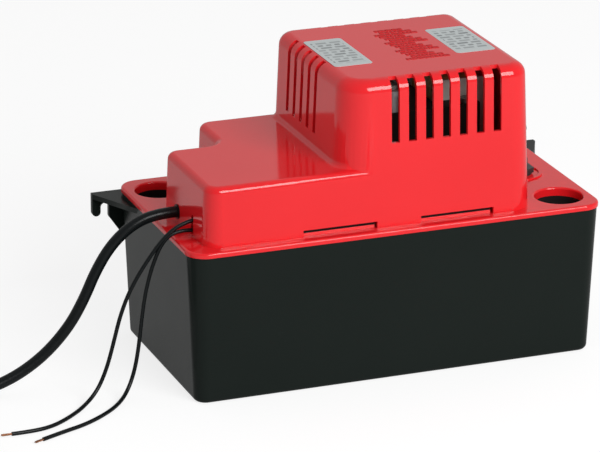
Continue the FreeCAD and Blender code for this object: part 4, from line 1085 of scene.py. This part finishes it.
# %% [markdown]
# ## Labels and raised marks on the lid
# Two pale labels lie on the top of the housing, with a block of raised marks between them. What
# was printed there is left off: the labels carry only blank ruled fields, and the raised block
# is rows of plain short bars.


# %% A thin plate with round corners
LABEL_CORNER = 2.2
LABEL_THICK = 0.12
LABEL_STEPS = 6


def plate(name, x0, y0, x1, y1, z0, z1):
    corners = ((x1, y1, 0), (x0, y1, 90), (x0, y0, 180), (x1, y0, 270))
    rings = []
    for z, grow in ((z0, 0.0), (z1 - 0.03, 0.0), (z1, -0.05)):
        ring = []
        r = LABEL_CORNER + grow
        for cx, cy, start_angle in corners:
            mx = cx - LABEL_CORNER if cx == x1 else cx + LABEL_CORNER
            my = cy - LABEL_CORNER if cy == y1 else cy + LABEL_CORNER
            for k in range(LABEL_STEPS + 1):
                a = radians(start_angle + 90 * k / LABEL_STEPS)
                ring.append(((mx + r * cos(a)) * MM, (my + r * sin(a)) * MM, z * MM))
        rings.append(ring)
    bm = bmesh.new()
    skin(bm, rings)
    obj = mesh_object(name, bm)
    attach(obj, "root")
    return obj


LID_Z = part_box("motor_housing")[1][2] / MM
labels = [
    plate("label_left", -24.5, -24.5, -1.4, 27.0, LID_Z, LID_Z + LABEL_THICK),
    plate("label_right", 50.0, -24.0, 74.0, 25.0, LID_Z, LID_Z + LABEL_THICK),
]
print("lid at", round(LID_Z, 2), "mm")

# %% [markdown]
# The ruled fields are drawn by the material: a brick pattern gives rows of boxes, whose fill is
# printed in grey inside a plain margin.

# %% Label material
material, shader = start("label_film", 0.28)
tree = material.node_tree
coords = tree.nodes.new("ShaderNodeTexCoord")
bricks = add(tree, "ShaderNodeTexBrick", Scale=1.0, offset=0.37, squash=0.6, squash_frequency=3)
brick = {
    "Color1": (0, 0, 0, 1),
    "Color2": (0.45, 0.45, 0.45, 1),
    "Mortar": (1, 1, 1, 1),
    "Mortar Size": 0.0011,
    "Mortar Smooth": 0.2,
    "Brick Width": 0.0085,
    "Row Height": 0.0045,
}
for key, value in brick.items():
    bricks.inputs[key].default_value = value
tree.links.new(coords.outputs["Object"], bricks.inputs["Vector"])
part = axes(tree, coords.outputs["Generated"])
edges = []
for axis in ("X", "Y"):
    away = math(tree, "ABSOLUTE", math(tree, "SUBTRACT", part[axis], 0.5))
    edges.append(math(tree, "GREATER_THAN", away, 0.40))
margin = math(tree, "MAXIMUM", *edges)
blank = math(tree, "MAXIMUM", margin, bricks.outputs["Color"])
tone(material, shader, (0.20, 0.22, 0.23), (0.60, 0.65, 0.65), blank)
finishes["label"] = material
for obj in labels:
    dress(obj, material)

# %% [markdown]
# The raised marks are cut into the mould, so their bars have leaning sides and a matt top.

# %% Raised bars
BAR_DEEP = 2.8
BAR_HIGH = 0.25
BAR_LEAN = 0.12
BAR_GAP = 0.5
ROW_PITCH = 4.0


def raised_bars(name, x0, x1, y0, y1):
    """Rows of short raised bars of uneven lengths, joined into one mesh."""
    bm = bmesh.new()
    levels = ((LID_Z, 0.0), (LID_Z + BAR_HIGH, BAR_LEAN))
    for row in range(int((y1 - y0) / ROW_PITCH)):
        y = y0 + row * ROW_PITCH
        x = x0 + 1.5 * (row * 7 % 4)
        step = row * 3
        while x < x1 - 2.0 * (row * 5 % 4):
            long = 1.6 + 0.5 * (step * 5 % 6)
            rings = []
            for z, lean in levels:
                left, right_end = x + lean, x + long - lean
                low, high = y + lean, y + BAR_DEEP - lean
                corners = ((left, low), (right_end, low), (right_end, high), (left, high))
                rings.append([(px * MM, py * MM, z * MM) for px, py in corners])
            skin(bm, rings)
            x += long + BAR_GAP
            step += 1
    obj = mesh_object(name, bm)
    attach(obj, "root")
    return obj


bars = raised_bars("raised_marks", 18.5, 41.5, -26.0, 34.0)
MATT_RED = (0.62, 0.02, 0.024), (0.55, 0.016, 0.02)
dress(bars, moulded("red_matt_marks", *MATT_RED, 0.6, dust=0.0, specular=0.2))
print("raised marks:", len(bars.data.polygons), "faces")

# %% [markdown]
# ## Table and light
# The pump stands on a white table in a white tent. The table keeps a soft shadow, so its shader
# adds light of its own only for the camera and, more weakly, for mirror rays. For everything
# else it reflects light like matt paper.

# %% Table
TABLE_SIZE = 6.0
TABLE_SEEN, TABLE_MIRRORED = 0.78, 0.36
bm = bmesh.new()
bmesh.ops.create_grid(bm, x_segments=1, y_segments=1, size=TABLE_SIZE)
table = mesh_object("table", bm)
material = bpy.data.materials.new("table_white")
material.use_nodes = True
tree = material.node_tree
tree.nodes.clear()
out = tree.nodes.new("ShaderNodeOutputMaterial")
paper = add(tree, "ShaderNodeBsdfDiffuse", Color=(0.8, 0.8, 0.8, 1))
lit = add(tree, "ShaderNodeBsdfDiffuse", Color=(0.3, 0.3, 0.3, 1))
glow = add(tree, "ShaderNodeEmission", Color=(1, 1, 1, 1))
both = tree.nodes.new("ShaderNodeAddShader")
tree.links.new(lit.outputs[0], both.inputs[0])
tree.links.new(glow.outputs[0], both.inputs[1])
path = tree.nodes.new("ShaderNodeLightPath")
seen = math(tree, "MULTIPLY", path.outputs["Is Camera Ray"], TABLE_SEEN - TABLE_MIRRORED)
tree.links.new(math(tree, "ADD", seen, TABLE_MIRRORED), glow.inputs["Strength"])
direct = math(tree, "MAXIMUM", path.outputs["Is Camera Ray"], path.outputs["Is Glossy Ray"])
direct = math(tree, "MAXIMUM", direct, path.outputs["Is Transmission Ray"])
pick = tree.nodes.new("ShaderNodeMixShader")
tree.links.new(direct, pick.inputs[0])
tree.links.new(paper.outputs[0], pick.inputs[1])
tree.links.new(both.outputs[0], pick.inputs[2])
tree.links.new(pick.outputs[0], out.inputs["Surface"])
table.data.materials.append(material)

# %% [markdown]
# The world stands for the tent: bright behind the pump, where the lid mirrors it, and darker on
# the camera's side. One softbox stands at the front right, about thirty degrees up. It lights
# the front and draws the pale lines low on the rounded edges.

# %% World
BACK_BRIGHT, FRONT_BRIGHT = 0.52, 0.31
world = bpy.data.worlds.new("tent")
bpy.context.scene.world = world
world.use_nodes = True
tree = world.node_tree
tree.nodes.clear()
out = tree.nodes.new("ShaderNodeOutputWorld")
direction = tree.nodes.new("ShaderNodeTexCoord").outputs["Generated"]
rear = ramp(tree, axes(tree, direction)["Y"], -0.5, 0.7)
level = math(tree, "ADD", math(tree, "MULTIPLY", rear, BACK_BRIGHT - FRONT_BRIGHT), FRONT_BRIGHT)
path = tree.nodes.new("ShaderNodeLightPath")
level = math(tree, "MAXIMUM", level, path.outputs["Is Camera Ray"])
back = add(tree, "ShaderNodeBackground", Color=(1, 1, 1, 1))
tree.links.new(level, back.inputs["Strength"])
tree.links.new(back.outputs[0], out.inputs["Surface"])

# %% Softbox
SOFTBOX_PLACE = Vector((0.45, -1.64, 1.07))
SOFTBOX_AIM = Vector((0, 0, 0.09))
data = bpy.data.lights.new("front_softbox", "AREA")
data.shape = "RECTANGLE"
data.size, data.size_y = 1.2, 0.9
data.energy = 29
softbox = linked("front_softbox", data)
softbox.location = SOFTBOX_PLACE
softbox.rotation_euler = (SOFTBOX_AIM - SOFTBOX_PLACE).to_track_quat("-Z", "Y").to_euler()
print("softbox", round((SOFTBOX_PLACE - SOFTBOX_AIM).length, 2), "m from the pump")
